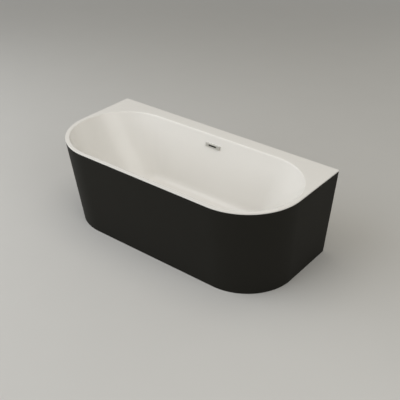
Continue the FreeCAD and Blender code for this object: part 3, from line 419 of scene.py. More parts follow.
@dataclass(frozen=True)
class Plywood(Finish):
    """Birch plywood: seven plies across the thickness, their grain turned in turn."""

    across: Triple
    start: float
    grain: Triple = (4.0, 90.0, 90.0)
    thickness: ClassVar[float] = 0.018
    plies: ClassVar[int] = 7

    def draw(self, bench: Bench) -> bpy.types.Material:
        """Draw the plies by depth, the face's long grain and the end grain's pores.

        Args:
            bench: where the surface is drawn.

        Returns:
            The material.
        """
        depth = (bench.along(self.across) - self.start) * (0.999 * self.plies / self.thickness)
        crossed = depth.floor() % 2.0 > 0.5
        glue = depth.maths("COMPARE", depth % 1.0, 0.0, 0.07)
        grain = bench.noise(1.0, 5.0, self.grain, 0.6)
        pores = bench.noise(420.0)
        face = self.tones(grain, (0.3, 0.72), (0.5, 1.0), (0.72, 1.18))
        end = self.tones(pores, (0.3, 0.42), (0.7, 0.66))
        plies = bench.mix(crossed, face, end)
        return bench.surface(
            Base_Color=bench.mix(0.55 * glue, plies, shade(self.colour, 0.3)),
            Roughness=0.62 + 0.2 * grain,
            Specular_IOR_Level=0.35,
            Normal=bench.bump(grain + 0.4 * pores, 0.25, 0.0006),
        )


@dataclass(frozen=True)
class Galvanised(Finish):
    """Steel dipped in zinc, with its crystal spangle."""

    def draw(self, bench: Bench) -> bpy.types.Material:
        """Draw crystals of slightly different greys and gloss.

        Args:
            bench: where the surface is drawn.

        Returns:
            The material.
        """
        spangle = bench.cells(85.0, (1.0, 1.4, 1.2))
        dust = bench.noise(30.0, 4.0)
        tone = 0.7 * spangle + 0.3 * dust
        return bench.surface(
            Base_Color=self.tones(tone, (0.15, 0.74), (0.85, 1.1)),
            Metallic=0.94,
            Roughness=0.3 + 0.26 * spangle + 0.08 * dust,
            Normal=bench.bump(tone, 0.1, 0.0003),
        )


@dataclass(frozen=True)
class Plated(Finish):
    """A plated or polished metal, brushed along one axis if its stretch says so."""

    roughness: float
    brush: Triple = EVEN
    depth: float = 0.04
    haze: float = 0.1

    def draw(self, bench: Bench) -> bpy.types.Material:
        """Draw the brush lines or the polish's faint haze.

        Args:
            bench: where the surface is drawn.

        Returns:
            The material.
        """
        lines = bench.noise(420.0, 3.0, self.brush)
        haze = bench.noise(18.0, 3.0)
        return bench.surface(
            Base_Color=self.tones(lines, (0.3, 0.93), (0.7, 1.03)),
            Metallic=1.0,
            Roughness=self.roughness + self.haze * (haze + 0.8 * lines),
            Normal=bench.bump(lines, self.depth, 0.0003),
        )


@dataclass(frozen=True)
class Moulded(Finish):
    """Injection-moulded plastic or rubber with a spark-eroded grain."""

    roughness: float
    grain: float = 1300.0
    relief: float = 0.16

    def draw(self, bench: Bench) -> bpy.types.Material:
        """Draw the tool's grain and the faint flow marks of the moulding.

        Args:
            bench: where the surface is drawn.

        Returns:
            The material.
        """
        grain = bench.noise(self.grain)
        flow = bench.noise(24.0, 3.0, (1.0, 1.0, 0.4), 0.8)
        return bench.surface(
            Base_Color=self.tones(flow, (0.3, 0.93), (0.7, 1.04)),
            Roughness=self.roughness + 0.12 * grain + 0.08 * flow,
            Specular_IOR_Level=0.42,
            Normal=bench.bump(grain, self.relief, 0.0003),
        )


class Finishes:
    """The bath's finishes, by what they are on."""

    TUB = Acrylic("acrylic_white", (0.845, 0.834, 0.808), 0.2)
    SKIRT = Acrylic("acrylic_anthracite", (0.0195, 0.0188, 0.016), 0.5, 0.05, 0.5)
    LAMINATE = Laminate("glassfibre", (0.56, 0.52, 0.40))
    BOARD = Chipboard("chipboard", (0.5, 0.37, 0.22))
    PLY_COLOUR = (0.62, 0.46, 0.28)
    STEEL = Galvanised("galvanised_steel", (0.55, 0.56, 0.57))
    ZINC = Plated("zinc_fasteners", (0.62, 0.61, 0.56), 0.24)
    CHROME = Plated("chrome", (0.68, 0.69, 0.7), 0.05, EVEN, 0.0, 0.035)
    COVER = Plated("chrome", (0.66, 0.66, 0.63), 0.28, (0.12, 1.0, 1.0), 0.06)
    STAINLESS = Plated("stainless_steel", (0.55, 0.55, 0.54), 0.3, (0.1, 1.0, 1.0), 0.1)
    FOOT = Moulded("foot_plastic", (0.022, 0.022, 0.022), 0.5)
    GREY = Moulded("grey_moulding", (0.2, 0.2, 0.205), 0.4)
    # painted shade: near black, far darker than the grey moulding, so the slot behind the overflow cover
    # shows as shadow
    PAINTED_SHADE_GREY = Moulded("grey_moulding", (0.014, 0.014, 0.015), 0.6)
    WHITE = Moulded("white_moulding", (0.74, 0.74, 0.72), 0.3)
    NUT = Moulded("nut_plastic", (0.045, 0.045, 0.05), 0.42)
    PIPE = Moulded("pipe_plastic", (0.66, 0.67, 0.66), 0.34, 700.0, 0.08)
    RUBBER = Moulded("rubber", (0.018, 0.018, 0.018), 0.66, 900.0, 0.24)


# ---- shaping --------------------------------------------------------------------------------


def corners(node: str) -> tuple[Vector, Vector]:
    """Return a frame node's lowest and highest corners in millimetres."""
    low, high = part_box(node)
    return low * METRE, high * METRE


def middle(node: str) -> Vector:
    """Return the middle of a frame node's box in millimetres."""
    low, high = corners(node)
    return (low + high) / 2


def polar(radius: float, angle: float, height: float) -> Vector:
    """Return a point at a radius and an angle about the upright axis."""
    return Vector((radius * math.cos(angle), radius * math.sin(angle), height))


def round_angles(count: int) -> list[float]:
    """Return the angles of count even steps round a circle, the first again at the end."""
    return [2 * math.pi * step / count for step in range(count)] + [0.0]


def blend(low: Vector, high: Vector, share: float) -> Vector:
    """Return the point a share of the way from low to high."""
    return low + (high - low) * share


def shares(steps: int, first: int = 0) -> list[float]:
    """Return even shares from first / steps up to 1."""
    return [step / steps for step in range(first, steps + 1)]


def level(points: Sequence[Vector], height: float) -> list[Vector]:
    """Return points seen from above at a height."""
    return [Vector((*point.xy, height)) for point in points]


def run_in(slope: float, depth: float) -> float:
    """Return how far a wall comes in, to a micrometre: the slope is in degrees from upright."""
    return round(depth * math.tan(math.radians(slope)), 3)


def at(where: Sequence[float]) -> Matrix:
    """Return the move to a place."""
    return Matrix.Translation(Vector(where))


def in_scene(name: str, data: bpy.types.ID) -> bpy.types.Object:
    """Put data in the scene as an object.

    Args:
        name: the object's name.
        data: its mesh, lamp or camera.

    Returns:
        The object.
    """
    made = bpy.data.objects.new(name, data)
    bpy.context.scene.collection.objects.link(made)
    return made


class Form:
    """A mesh in the making, in millimetres, shaped with bmesh operators."""

    CREASE: ClassVar[float] = math.radians(32)  # the turn from which an edge is shaded sharp
    FLAT: ClassVar[float] = math.radians(0.4)  # the turn under which two of a node's faces are one
    NODE_GAP: ClassVar[float] = 0.002  # the distance under which two of a node's points are one
    GAP: ClassVar[float] = 0.003  # the same for the shapes made here
    SLIVER: ClassVar[float] = 0.01  # the length under which a cut's edges are taken out
    FACE_WEIGHT: ClassVar[int] = 80  # how far large faces lead the shading of their corners

    def __init__(self) -> None:
        """Start with nothing."""
        self.bm = bmesh.new()

    @classmethod
    def of_node(cls, node: str) -> "Form":
        """Copy a frame node, its loose triangles merged and its flats made whole.

        Args:
            node: the node's name.

        Returns:
            The form.
        """
        form = cls()
        form.bm.from_mesh(bpy.data.objects[node].data)
        form.scale(METRE)
        bmesh.ops.remove_doubles(form.bm, verts=form.bm.verts, dist=cls.NODE_GAP)
        bmesh.ops.dissolve_limit(
            form.bm, angle_limit=cls.FLAT, verts=form.bm.verts, edges=form.bm.edges
        )
        return form

    @classmethod
    def box(cls, low: Vector, high: Vector) -> "Form":
        """Make a box.

        Args:
            low: its lowest corner.
            high: its highest corner.

        Returns:
            The form.
        """
        form = cls()
        bmesh.ops.create_cube(form.bm, size=1.0)
        bmesh.ops.scale(form.bm, vec=high - low, verts=form.bm.verts)
        bmesh.ops.translate(form.bm, vec=(high + low) / 2, verts=form.bm.verts)
        return form

    def skin(self, rows: Sequence[Sequence[Vector]]) -> "Form":
        """Stretch a grid over rows of points, its face towards columns crossed with rows.

        Args:
            rows: the rows, all of one length.

        Returns:
            The form.
        """
        across, along = len(rows[0]) - 1, len(rows) - 1
        grid = bmesh.ops.create_grid(self.bm, x_segments=across, y_segments=along, size=1.0)
        for vert in grid["verts"]:
            column = round((vert.co.x + 1) / 2 * across)
            row = round((vert.co.y + 1) / 2 * along)
            vert.co = rows[row][column]
        return self

    def spin(
        self, profile: Sequence[tuple[float, float]], steps: int, rise: float = 0.0,
        turns: float = 1.0, closed: bool = False,
    ) -> "Form":
        """Turn a profile about the upright axis.

        Args:
            profile: (radius, height) points.
            steps: how many steps each turn takes.
            rise: how far the profile climbs in each turn.
            turns: how many turns.
            closed: whether the profile's last point joins its first.

        Returns:
            The form.
        """
        verts = [self.bm.verts.new((radius, 0.0, height)) for radius, height in profile]
        ends = verts[1:] + verts[:1] if closed else verts[1:]
        edges = [self.bm.edges.new(pair) for pair in zip(verts, ends)]
        bmesh.ops.spin(
            self.bm, geom=verts + edges, cent=(0.0, 0.0, 0.0), axis=UP,
            dvec=(0.0, 0.0, rise / steps), angle=2 * math.pi * turns, steps=round(steps * turns),
            use_merge=rise == 0.0, use_duplicate=False,
        )
        return self

    def weld(self, outward: bool = True) -> "Form":
        """Merge doubled points.

        Args:
            outward: whether to turn every face outwards as well, as on a closed shape.

        Returns:
            The form.
        """
        bmesh.ops.remove_doubles(self.bm, verts=self.bm.verts, dist=self.GAP)
        if outward:
            bmesh.ops.recalc_face_normals(self.bm, faces=self.bm.faces)
            if self.bm.calc_volume(signed=True) < 0:
                bmesh.ops.reverse_faces(self.bm, faces=self.bm.faces)
        return self

    def soften(
        self, width: float, segments: int = 2, least: float = 28.0,
        pick: Callable[[bmesh.types.BMEdge], bool] | None = None,
    ) -> "Form":
        """Round the form's sharp edges.

        Args:
            width: how far the rounding reaches from an edge.
            segments: how many steps it takes.
            least: the turn, in degrees, from which an edge is rounded.
            pick: which edges may be rounded; all, if nothing is given.

        Returns:
            The form.
        """
        limit = math.radians(least)
        edges = [
            edge for edge in self.bm.edges
            if edge.is_manifold and edge.calc_face_angle(0.0) > limit and (not pick or pick(edge))
        ]
        bmesh.ops.bevel(
            self.bm, geom=edges, offset=width, segments=segments, profile=0.5, affect="EDGES",
            clamp_overlap=True, material=-1,
        )
        return self

    def scale(self, factor: float) -> "Form":
        """Scale everything about the origin."""
        bmesh.ops.scale(self.bm, vec=(factor, factor, factor), verts=self.bm.verts)
        return self

    def move(self, matrix: Matrix) -> "Form":
        """Take everything to its place."""
        bmesh.ops.transform(self.bm, matrix=matrix, verts=self.bm.verts)
        return self

    def repeat(self, places: Sequence[Matrix]) -> "Form":
        """Stand one copy of the shape at each place.

        Args:
            places: the moves from where the shape is now.

        Returns:
            The form.
        """
        base = [*self.bm.verts, *self.bm.edges, *self.bm.faces]
        own = list(self.bm.verts)
        for place in places[1:]:
            new = bmesh.ops.duplicate(self.bm, geom=base)["geom"]
            verts = [item for item in new if isinstance(item, bmesh.types.BMVert)]
            bmesh.ops.transform(self.bm, matrix=place, verts=verts)
        bmesh.ops.transform(self.bm, matrix=places[0], verts=own)
        return self

    def add(self, other: "Form") -> "Form":
        """Put another form beside this one, as one mesh."""
        self.bm.from_mesh(other.mesh("part"))
        return self

    def mesh(self, name: str) -> bpy.types.Mesh:
        """Return the form as a mesh.

        Args:
            name: the mesh's name.

        Returns:
            The mesh.
        """
        mesh = bpy.data.meshes.new(name)
        self.bm.to_mesh(mesh)
        return mesh

    def _modified(self, kind: str, **settings: object) -> "Form":
        """Pass the mesh through a modifier and take back what it makes.

        Args:
            kind: the modifier's type.
            settings: its properties.

        Returns:
            The form.
        """
        subject = in_scene("work", self.mesh("work"))
        modifier = subject.modifiers.new("work", kind)
        for key, setting in settings.items():
            setattr(modifier, key, setting)
        depsgraph = bpy.context.evaluated_depsgraph_get()
        result = bpy.data.meshes.new_from_object(subject.evaluated_get(depsgraph))
        self.bm.clear()
        self.bm.from_mesh(result)
        bpy.data.objects.remove(subject)
        bpy.data.meshes.remove(result)
        return self

    def thicken(self, thickness: float) -> "Form":
        """Give a sheet its thickness, away from its face."""
        return self._modified("SOLIDIFY", thickness=thickness, offset=-1.0, use_even_offset=True)

    def cut(self, tool: "Form") -> "Form":
        """Take a tool's shape out of this one.

        Args:
            tool: the tool.

        Returns:
            The form.
        """
        cutter = in_scene("cutter", tool.mesh("cutter"))
        self._modified("BOOLEAN", operation="DIFFERENCE", object=cutter, solver="EXACT")
        bpy.data.objects.remove(cutter)
        bmesh.ops.dissolve_degenerate(self.bm, dist=self.SLIVER, edges=self.bm.edges)
        return self

    def hand_over(
        self, name: str, finish: Finish, body: str, nodes: Sequence[str],
    ) -> bpy.types.Object:
        """Make the form a finished piece of the bath.

        Args:
            name: the piece's name.
            finish: what it is made of.
            body: the frame's body that it moves with.
            nodes: the frame's nodes that it stands for.

        Returns:
            The piece.
        """
        mesh = self.scale(1 / METRE).mesh(name)
        self.bm.free()
        mesh.materials.append(finish.material())
        mesh.shade_smooth()
        mesh.set_sharp_from_angle(angle=self.CREASE)
        piece = in_scene(name, mesh)
        weights = piece.modifiers.new("shading", "WEIGHTED_NORMAL")
        weights.keep_sharp = True
        weights.weight = self.FACE_WEIGHT
        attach(piece, body)
        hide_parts(*nodes)
        LOG.info("%s: %d faces on %s", name, len(mesh.polygons), body)
        return piece

    def stand_for(
        self, node: str, finish: Finish, suffix: str = "finished", body: str = "bath",
    ) -> bpy.types.Object:
        """Hand the form over under its node's name and a suffix."""
        return self.hand_over(f"{node}_{suffix}", finish, body, [node])


def keep_shape(
    node: str, finish: Finish, width: float = 0.0, segments: int = 2, body: str = "bath",
) -> None:
    """Stand a finer copy of a frame node in its place.

    Args:
        node: the node's name.
        finish: what the piece is made of.
        width: how far its edges are rounded, or 0 for none.
        segments: how many steps the rounding takes.
        body: the frame's body that it moves with.
    """
    form = Form.of_node(node)
    if width:
        form.soften(width, segments)
    form.stand_for(node, finish, body=body)


def ribbed_ring(profile: Sequence[Triple], ribs: int, closed: bool = True) -> Form:
    """Return a turned ring, or a disc, whose outside may carry grip ribs.

    Args:
        profile: (radius, height, depth) points, depth being how deep the ribs cut there.
        ribs: how many ribs.
        closed: whether the profile's last point joins its first, as round a ring's bore.

    Returns:
        The ring.
    """
    columns_per_rib = 4
    angles = round_angles(ribs * columns_per_rib)
    waves = [(0.5 - 0.5 * math.cos(ribs * angle)) ** 2 for angle in angles]
    rows = [
        [polar(radius - depth * wave, angle, height) for angle, wave in zip(angles, waves)]
        for radius, height, depth in ([*profile, profile[0]] if closed else profile)
    ]
    return Form().skin(rows).weld()


def hexagon(
    flats: float, low: float, high: float, bore: float = 0.0, chamfers: tuple[bool, bool] = (True, True),
) -> Form:
    """Return a hexagon nut or bolt head, its corners turned down to a cone at the ends chosen.

    Args:
        flats: the distance across its flats.
        low: the height of its bottom.
        high: the height of its top.
        bore: the radius of its hole, or 0 for a solid head.
        chamfers: whether the bottom and the top are turned down.

    Returns:
        The hexagon.
    """
    half, columns_per_side = flats / 2, 8
    cone_radius, cone_slope, cone_levels = half * 0.96, 1.73, (0.0, 0.35, 0.7, 1.05, 1.5)
    angles = round_angles(6 * columns_per_side)
    heights = [low + rise for rise in cone_levels]
    heights += [high - rise for rise in reversed(cone_levels)]
    rows = [[polar(bore, angle, low) for angle in angles]]
    for height in heights:
        at_low = cone_radius + cone_slope * (height - low) if chamfers[0] else math.inf
        at_high = cone_radius + cone_slope * (high - height) if chamfers[1] else math.inf
        row = []
        for angle in angles:
            side = half / math.cos((angle % math.radians(60)) - math.radians(30))
            row.append(polar(min(side, at_low, at_high), angle, height))
        rows.append(row)
    rows.append([polar(bore, angle, high) for angle in angles])
    if bore:
        rows.append(rows[0])
    return Form().skin(rows).weld()


def pan_screw(length: float) -> Form:
    """Return a cross-recessed pan-head screw: its head under the origin, its shank upwards.

    Args:
        length: the shank's length.

    Returns:
        The screw.
    """
    top, shank_radius, point = -SCREW_HEAD, 2.3, 4.0
    head = [(0.0, top), (1.9, top), (3.2, top + 0.25), (4.1, -1.6), (4.6, -0.4), (4.5, 0.0)]
    shank = [(shank_radius, 0.0), (shank_radius, length - point), (0.0, length)]
    reach, arm, recess, clear = 1.7, 0.45, top + 1.0, top - 1.4
    quarter = [Vector((reach, -arm)), Vector((reach, arm)), Vector((arm, arm))]
    cross = [Matrix.Rotation(math.pi / 2 * turn, 2) @ spot for turn in range(4) for spot in quarter]
    cross.append(cross[0])
    rows = [
        [Vector((*(spot * share), height)) for spot in cross]
        for share, height in ((0.0, recess), (1.0, recess), (1.0, clear), (0.0, clear))
    ]
    return Form().spin(head + shank, 20).weld().cut(Form().skin(rows).weld())


# ---- the tub --------------------------------------------------------------------------------


@dataclass(frozen=True)
class Station:
    """One line down the basin: where its wall meets the rim and the floor, before rounding."""

    rim: Vector
    floor: Vector
    rim_out: Vector
    floor_out: Vector
    angle: float
    at_wall: bool

    def slope(self, outward: Vector, depth: float) -> float:
        """Return the wall's angle from upright, seen along a level outward direction."""
        return math.atan2((self.rim - self.floor).dot(outward), depth)


@dataclass
class Basin:
    """The white acrylic tub and the glass-fibre laminate on its back; slopes are from upright."""

    height: float = 600.0
    depth: float = 440.0
    rim_half_length: float = 822.0
    end_radius: float = 340.0
    end_slope: float = 32.0
    side_slope: float = 10.0
    floor_corner: float = 110.0
    corner_turn: float = 30.0
    rim_width: float = 28.0
    back_deck: float = 92.0
    lip: float = 8.0
    rim_rounding: float = 10.0
    floor_fillet: float = 75.0
    acrylic: float = 5.0
    laminate: float = 3.0
    recess_radius: float = 36.0
    recess: float = 2.0
    hole_radius: float = 26.0
    slot_length: float = 70.0
    slot_height: float = 14.0
    lip_rounding: float = 1.4
    hole_rounding: float = 0.5
    lip_zone: float = 560.0  # sharp edges above this height are the lip's
    hole_zone: float = 165.0  # sharp edges below this one are the waste hole's
    overflow_drop: float = 70.0
    side_steps: int = 22
    corner_steps: int = 14
    deck_steps: int = 5
    end_steps: int = 22
    rounding_steps: int = 7
    wall_steps: int = 14
    fillet_steps: int = 14
    floor_steps: int = 7

    @staticmethod
    def _out(angle: float) -> Vector:
        """Return the level direction that an angle takes from Y towards X."""
        return Vector((math.sin(angle), math.cos(angle)))

    def _quarter(self, side_x: int, side_y: int) -> list[Station]:
        """Return the stations from the middle of a long side to the middle of an end.

        Args:
            side_x: 1 for the right end, -1 for the left.
            side_y: 1 for the back, -1 for the front.

        Returns:
            The stations.
        """
        floor_half_length = self.rim_half_length - run_in(self.end_slope, self.depth)
        floor_half_width = self.end_radius - run_in(self.side_slope, self.depth)
        rim_centre = Vector((self.rim_half_length - self.end_radius, 0.0))
        end_centre = Vector((floor_half_length - self.end_radius, 0.0))
        corner_y = floor_half_width - self.floor_corner
        reach = math.sqrt((self.end_radius - self.floor_corner) ** 2 - corner_y**2)
        corner_x = floor_half_length - self.end_radius + reach
        corner = Vector((corner_x, corner_y))
        rim_turn, floor_turn = math.radians(self.corner_turn), math.atan2(reach, corner_y)
        deck_corner = math.atan2(self.end_radius + self.rim_width, self.end_radius + self.back_deck)
        square = (deck_corner - rim_turn) / (math.pi / 2 - rim_turn)
        lines = []
        for share in shares(self.side_steps)[:-1]:
            rim = Vector((share * (self.rim_half_length - self.end_radius), self.end_radius))
            lines.append((rim, Vector((share * corner_x, floor_half_width)), 0.0, 0.0))
        for share in shares(self.corner_steps)[:-1]:
            above, below = share * rim_turn, share * floor_turn
            rim = rim_centre + self.end_radius * self._out(above)
            lines.append((rim, corner + self.floor_corner * self._out(below), above, below))
        spread = [share * square for share in shares(self.deck_steps)[:-1]]
        spread += [square + share * (1 - square) for share in shares(self.end_steps)]
        for share in spread:
            above = rim_turn + share * (math.pi / 2 - rim_turn)
            below = floor_turn + share * (math.pi / 2 - floor_turn)
            rim = rim_centre + self.end_radius * self._out(above)
            lines.append((rim, end_centre + self.end_radius * self._out(below), above, below))
        sides, centre = Vector((side_x, side_y)), Vector((0.0, MIDDLE_Y))
        return [
            Station(
                centre + rim * sides, centre + floor * sides, self._out(above) * sides,
                self._out(below) * sides, above, side_y > 0,
            )
            for rim, floor, above, below in lines
        ]

    def stations(self) -> list[Station]:
        """Return the stations all the way round, from the back's middle by the left end.

        Returns:
            The stations, the first again at the end.
        """
        back_left, front_left = self._quarter(-1, 1), self._quarter(-1, -1)
        front_right, back_right = self._quarter(1, -1), self._quarter(1, 1)
        return back_left + front_left[-2::-1] + front_right[1:] + back_right[-2::-1]

    def _edge(self, station: Station, inset: float) -> Vector:
        """Return the point of the bath's outline that a station's line runs out to.

        Args:
            station: the station.
            inset: how far inside the outline the point lies.

        Returns:
            The point, seen from above.
        """
        if not station.at_wall:
            return station.rim + station.rim_out * (self.rim_width - inset)
        if station.angle == 0.0:
            return station.rim + Vector((0.0, self.back_deck - inset))
        to_side = (self.end_radius + self.rim_width - inset) / math.sin(station.angle)
        turn = math.cos(station.angle)
        to_wall = (self.end_radius + self.back_deck - inset) / turn if turn > 1e-6 else math.inf
        return station.rim + station.rim_out * (min(to_side, to_wall) - self.end_radius)

    def _on_wall(self, station: Station, depth: float, outward: Vector, shift: float) -> Vector:
        """Return a point at a depth below the rim, shifted inwards from the wall's line."""
        flat = blend(station.rim, station.floor, depth / self.depth) - outward * shift
        return Vector((flat.x, flat.y, self.height - depth))

    def _rim_row(self, station: Station, share: float) -> Vector:
        """Return a point on the rounding of the rim.

        Args:
            station: the station.
            share: 0 at the deck, 1 at the wall.

        Returns:
            The point.
        """
        slope = station.slope(station.rim_out, self.depth)
        turn = math.pi / 2 + share * (slope - math.pi / 2)
        radius = self.rim_rounding
        set_back = radius / math.tan((math.pi / 2 + slope) / 2)
        depth = radius * (1 - math.sin(turn))
        shift = radius * math.cos(turn) - set_back - depth * math.tan(slope)
        return self._on_wall(station, depth, station.rim_out, shift)

    def _fillet_row(self, station: Station, share: float) -> Vector:
        """Return a point on the fillet at the floor.

        Args:
            station: the station.
            share: 0 at the wall, 1 at the floor.

        Returns:
            The point.
        """
        slope = station.slope(station.floor_out, self.depth)
        turn = slope + share * (math.pi / 2 - slope)
        radius = self.floor_fillet
        set_back = radius / math.tan((math.pi / 2 + slope) / 2)
        rise = radius * (1 - math.sin(turn))
        shift = set_back - radius * math.cos(turn) + rise * math.tan(slope)
        return self._on_wall(station, self.depth - rise, station.floor_out, shift)

    def rows(self, lip: bool) -> list[list[Vector]]:
        """Return the sheet's rows, from its outer edge to the waste hole.

        Args:
            lip: whether the edge is turned down, or else ends inside the turned one.

        Returns:
            The rows.
        """
        stations = self.stations()
        edge = [self._edge(station, 0.0 if lip else self.acrylic) for station in stations]
        rows = [level(edge, self.height - self.lip)] if lip else []
        rows.append(level(edge, self.height))
        deck = list(zip(rows[-1], [self._rim_row(station, 0.0) for station in stations]))
        rows += [[blend(outer, inner, share) for outer, inner in deck] for share in (0.35, 0.65)]
        rows += [[self._rim_row(s, share) for s in stations] for share in shares(self.rounding_steps)]
        walls = [(self._rim_row(s, 1.0), self._fillet_row(s, 0.0)) for s in stations]
        spread = shares(self.wall_steps, 1)[:-1]
        rows += [[blend(high, low, share) for high, low in walls] for share in spread]
        rows += [[self._fillet_row(s, share) for s in stations] for share in shares(self.fillet_steps)]
        floor, centre = self.height - self.depth, Vector((0.0, MIDDLE_Y))
        foot = [point.xy for point in rows[-1]]
        recess, hole = (
            [centre + (point - centre).normalized() * radius for point in foot]
            for radius in (self.recess_radius, self.hole_radius)
        )
        for share in shares(self.floor_steps, 1):
            rows.append(level([blend(a, b, share) for a, b in zip(foot, recess)], floor))
        return rows + [level(points, floor - self.recess) for points in (recess, hole)]

    def overflow_place(self) -> Matrix:
        """Return the overflow's place on the back wall, its own Z pointing into the basin.

        Returns:
            The place.
        """
        wall = MIDDLE_Y + self.end_radius - run_in(self.side_slope, self.overflow_drop)
        turn = Matrix.Rotation(math.radians(90 - self.side_slope), 4, "X")
        return at((0.0, wall, self.height - self.overflow_drop)) @ turn

    def _overflow_slot(self) -> Form:
        """Return the cutter for the slot through the wall behind the overflow.

        Returns:
            The cutter, in its place.
        """
        radius, reach = self.slot_height / 2, (self.slot_length - self.slot_height) / 2
        through = 30.0
        profile = [(0.0, -through), (radius, -through), (radius, through), (0.0, through)]
        cutter = Form().spin(profile, 32).weld()
        for vert in cutter.bm.verts:
            if abs(vert.co.x) > 0.01:
                vert.co.x += math.copysign(reach, vert.co.x)
        return cutter.move(self.overflow_place())

    def build(self) -> None:
        """Make the tub and its laminate."""
        tub = Form().skin(self.rows(lip=True)).weld(outward=False)
        tub.thicken(self.acrylic).cut(self._overflow_slot())
        tub.soften(
            self.lip_rounding, 3, 40.0, lambda edge: min(v.co.z for v in edge.verts) > self.lip_zone
        )
        tub.soften(
            self.hole_rounding, 2, 40.0, lambda edge: max(v.co.z for v in edge.verts) < self.hole_zone
        )
        tub.hand_over("acrylic_tub", Finishes.TUB, "bath", ["tub_shell"])

        back = Form().skin(self.rows(lip=False)).weld(outward=False)
        back.bm.normal_update()
        moves = [(vert, vert.normal * vert.calc_shell_factor()) for vert in back.bm.verts]
        for vert, outward in moves:
            vert.co -= outward * self.acrylic
        back.thicken(self.laminate).cut(self._overflow_slot())
        back.hand_over("laminate_backing", Finishes.LAMINATE, "bath", ["glassfibre_layer"])


@dataclass
class Skirt:
    """The anthracite skirt: one leaning panel bent round the front, with strips at the wall."""

    half_length: float = 850.0
    front: float = -400.0
    back: float = 400.0
    radius: float = 368.0
    side_lean: float = 47.0
    front_lean: float = 78.0
    tightening: float = 37.0
    top: float = 592.0
    thickness: float = 6.0
    flange: float = 18.0
    strip: float = 25.0
    bend: float = 5.0
    edge: float = 0.9
    side_steps: int = 16
    corner_steps: int = 40
    front_steps: int = 18
    bend_steps: int = 5
    height_steps: int = 10

    def _side(self, lean: float, inset: float = 0.0) -> list[Vector]:
        """Return the right half of the outline, from the wall to the front's middle.

        Args:
            lean: 0 for the outline at the top, 1 for the one at the floor.
            inset: how far inside the outline to go.

        Returns:
            The points, seen from above.
        """
        half = self.half_length - self.side_lean * lean - inset
        front = self.front + self.front_lean * lean + inset
        radius = self.radius - self.tightening * lean - inset
        centre = Vector((half - radius, front + radius))
        start = self.back - self.bend
        points = [
            Vector((half, start + share * (centre.y - start))) for share in shares(self.side_steps)
        ]
        for share in shares(self.corner_steps, 1):
            angle = share * math.pi / 2
            points.append(centre + radius * Vector((math.cos(angle), -math.sin(angle))))
        spread = shares(self.front_steps, 1)
        return points + [Vector((centre.x * (1 - share), front)) for share in spread]

    def _strip(self, lean: float) -> list[Vector]:
        """Return the right strip against the wall and the bend that leads from it.

        Args:
            lean: 0 for the outline at the top, 1 for the one at the floor.

        Returns:
            The points, seen from above.
        """
        half = self.half_length - self.side_lean * lean
        centre = Vector((half - self.bend, self.back - self.bend))
        points = [Vector((half - self.strip, self.back))]
        for share in shares(self.bend_steps)[:-1]:
            angle = (1 - share) * math.pi / 2
            points.append(centre + self.bend * Vector((math.cos(angle), math.sin(angle))))
        return points

    @staticmethod
    def _row(right: list[Vector], height: float) -> list[Vector]:
        """Return a row at a height that runs along the left side and back along the right."""
        return level([Vector((-point.x, point.y)) for point in right] + right[-2::-1], height)

    def build(self) -> None:
        """Make the skirt."""
        low = self._row(self._strip(1.0) + self._side(1.0), 0.0)
        high = self._row(self._strip(0.0) + self._side(0.0), self.top)
        spread = shares(self.height_steps)
        rows = [[blend(a, b, share) for a, b in zip(low, high)] for share in spread]
        ledge = [self._row(self._side(0.0, inset), self.top) for inset in (0.0, self.flange)]
        form = Form().skin(rows).skin(ledge).weld(outward=False)
        form.thicken(self.thickness).soften(self.edge, least=50.0)
        form.hand_over("skirt_bent", Finishes.SKIRT, "bath", ["skirt_panel"])


@dataclass
class Timber:
    """The board under the floor, the battens and gussets under the deck and inside the hem."""

    deck_bottom: float = 574.0
    edge: float = 0.8

    def _hem(self, side: str, lean: float, outward: Triple, grain: Triple) -> None:
        """Finish a hem batten, its plies parallel to the skirt.

        Args:
            side: which batten.
            lean: how far the skirt leans over its height there.
            outward: the level direction from the batten to the skirt.
            grain: the stretch of its grain along each axis.
        """
        tilt = math.atan2(lean, Skirt.top)
        across = Vector(outward) * -math.cos(tilt) + UP * math.sin(tilt)
        form = Form.of_node(f"skirt_batten_{side}")
        start = min(vert.co.dot(across) for vert in form.bm.verts) / METRE
        finish = Plywood("plywood", Finishes.PLY_COLOUR, tuple(across), start, grain)
        form.soften(self.edge).stand_for(f"skirt_batten_{side}", finish)

    def build(self) -> None:
        """Finish every timber piece."""
        keep_shape("base_board", Finishes.BOARD, self.edge)
        deck = Plywood("plywood", Finishes.PLY_COLOUR, (0.0, 0.0, 1.0), self.deck_bottom / METRE)
        for node in ("rear_rim_batten", "corner_gusset_left", "corner_gusset_right"):
            keep_shape(node, deck, self.edge)
        self._hem("front", Skirt.front_lean, (0.0, -1.0, 0.0), (4.0, 90.0, 90.0))
        self._hem("left", Skirt.side_lean, (-1.0, 0.0, 0.0), (90.0, 4.0, 90.0))
        self._hem("right", Skirt.side_lean, (1.0, 0.0, 0.0), (90.0, 4.0, 90.0))


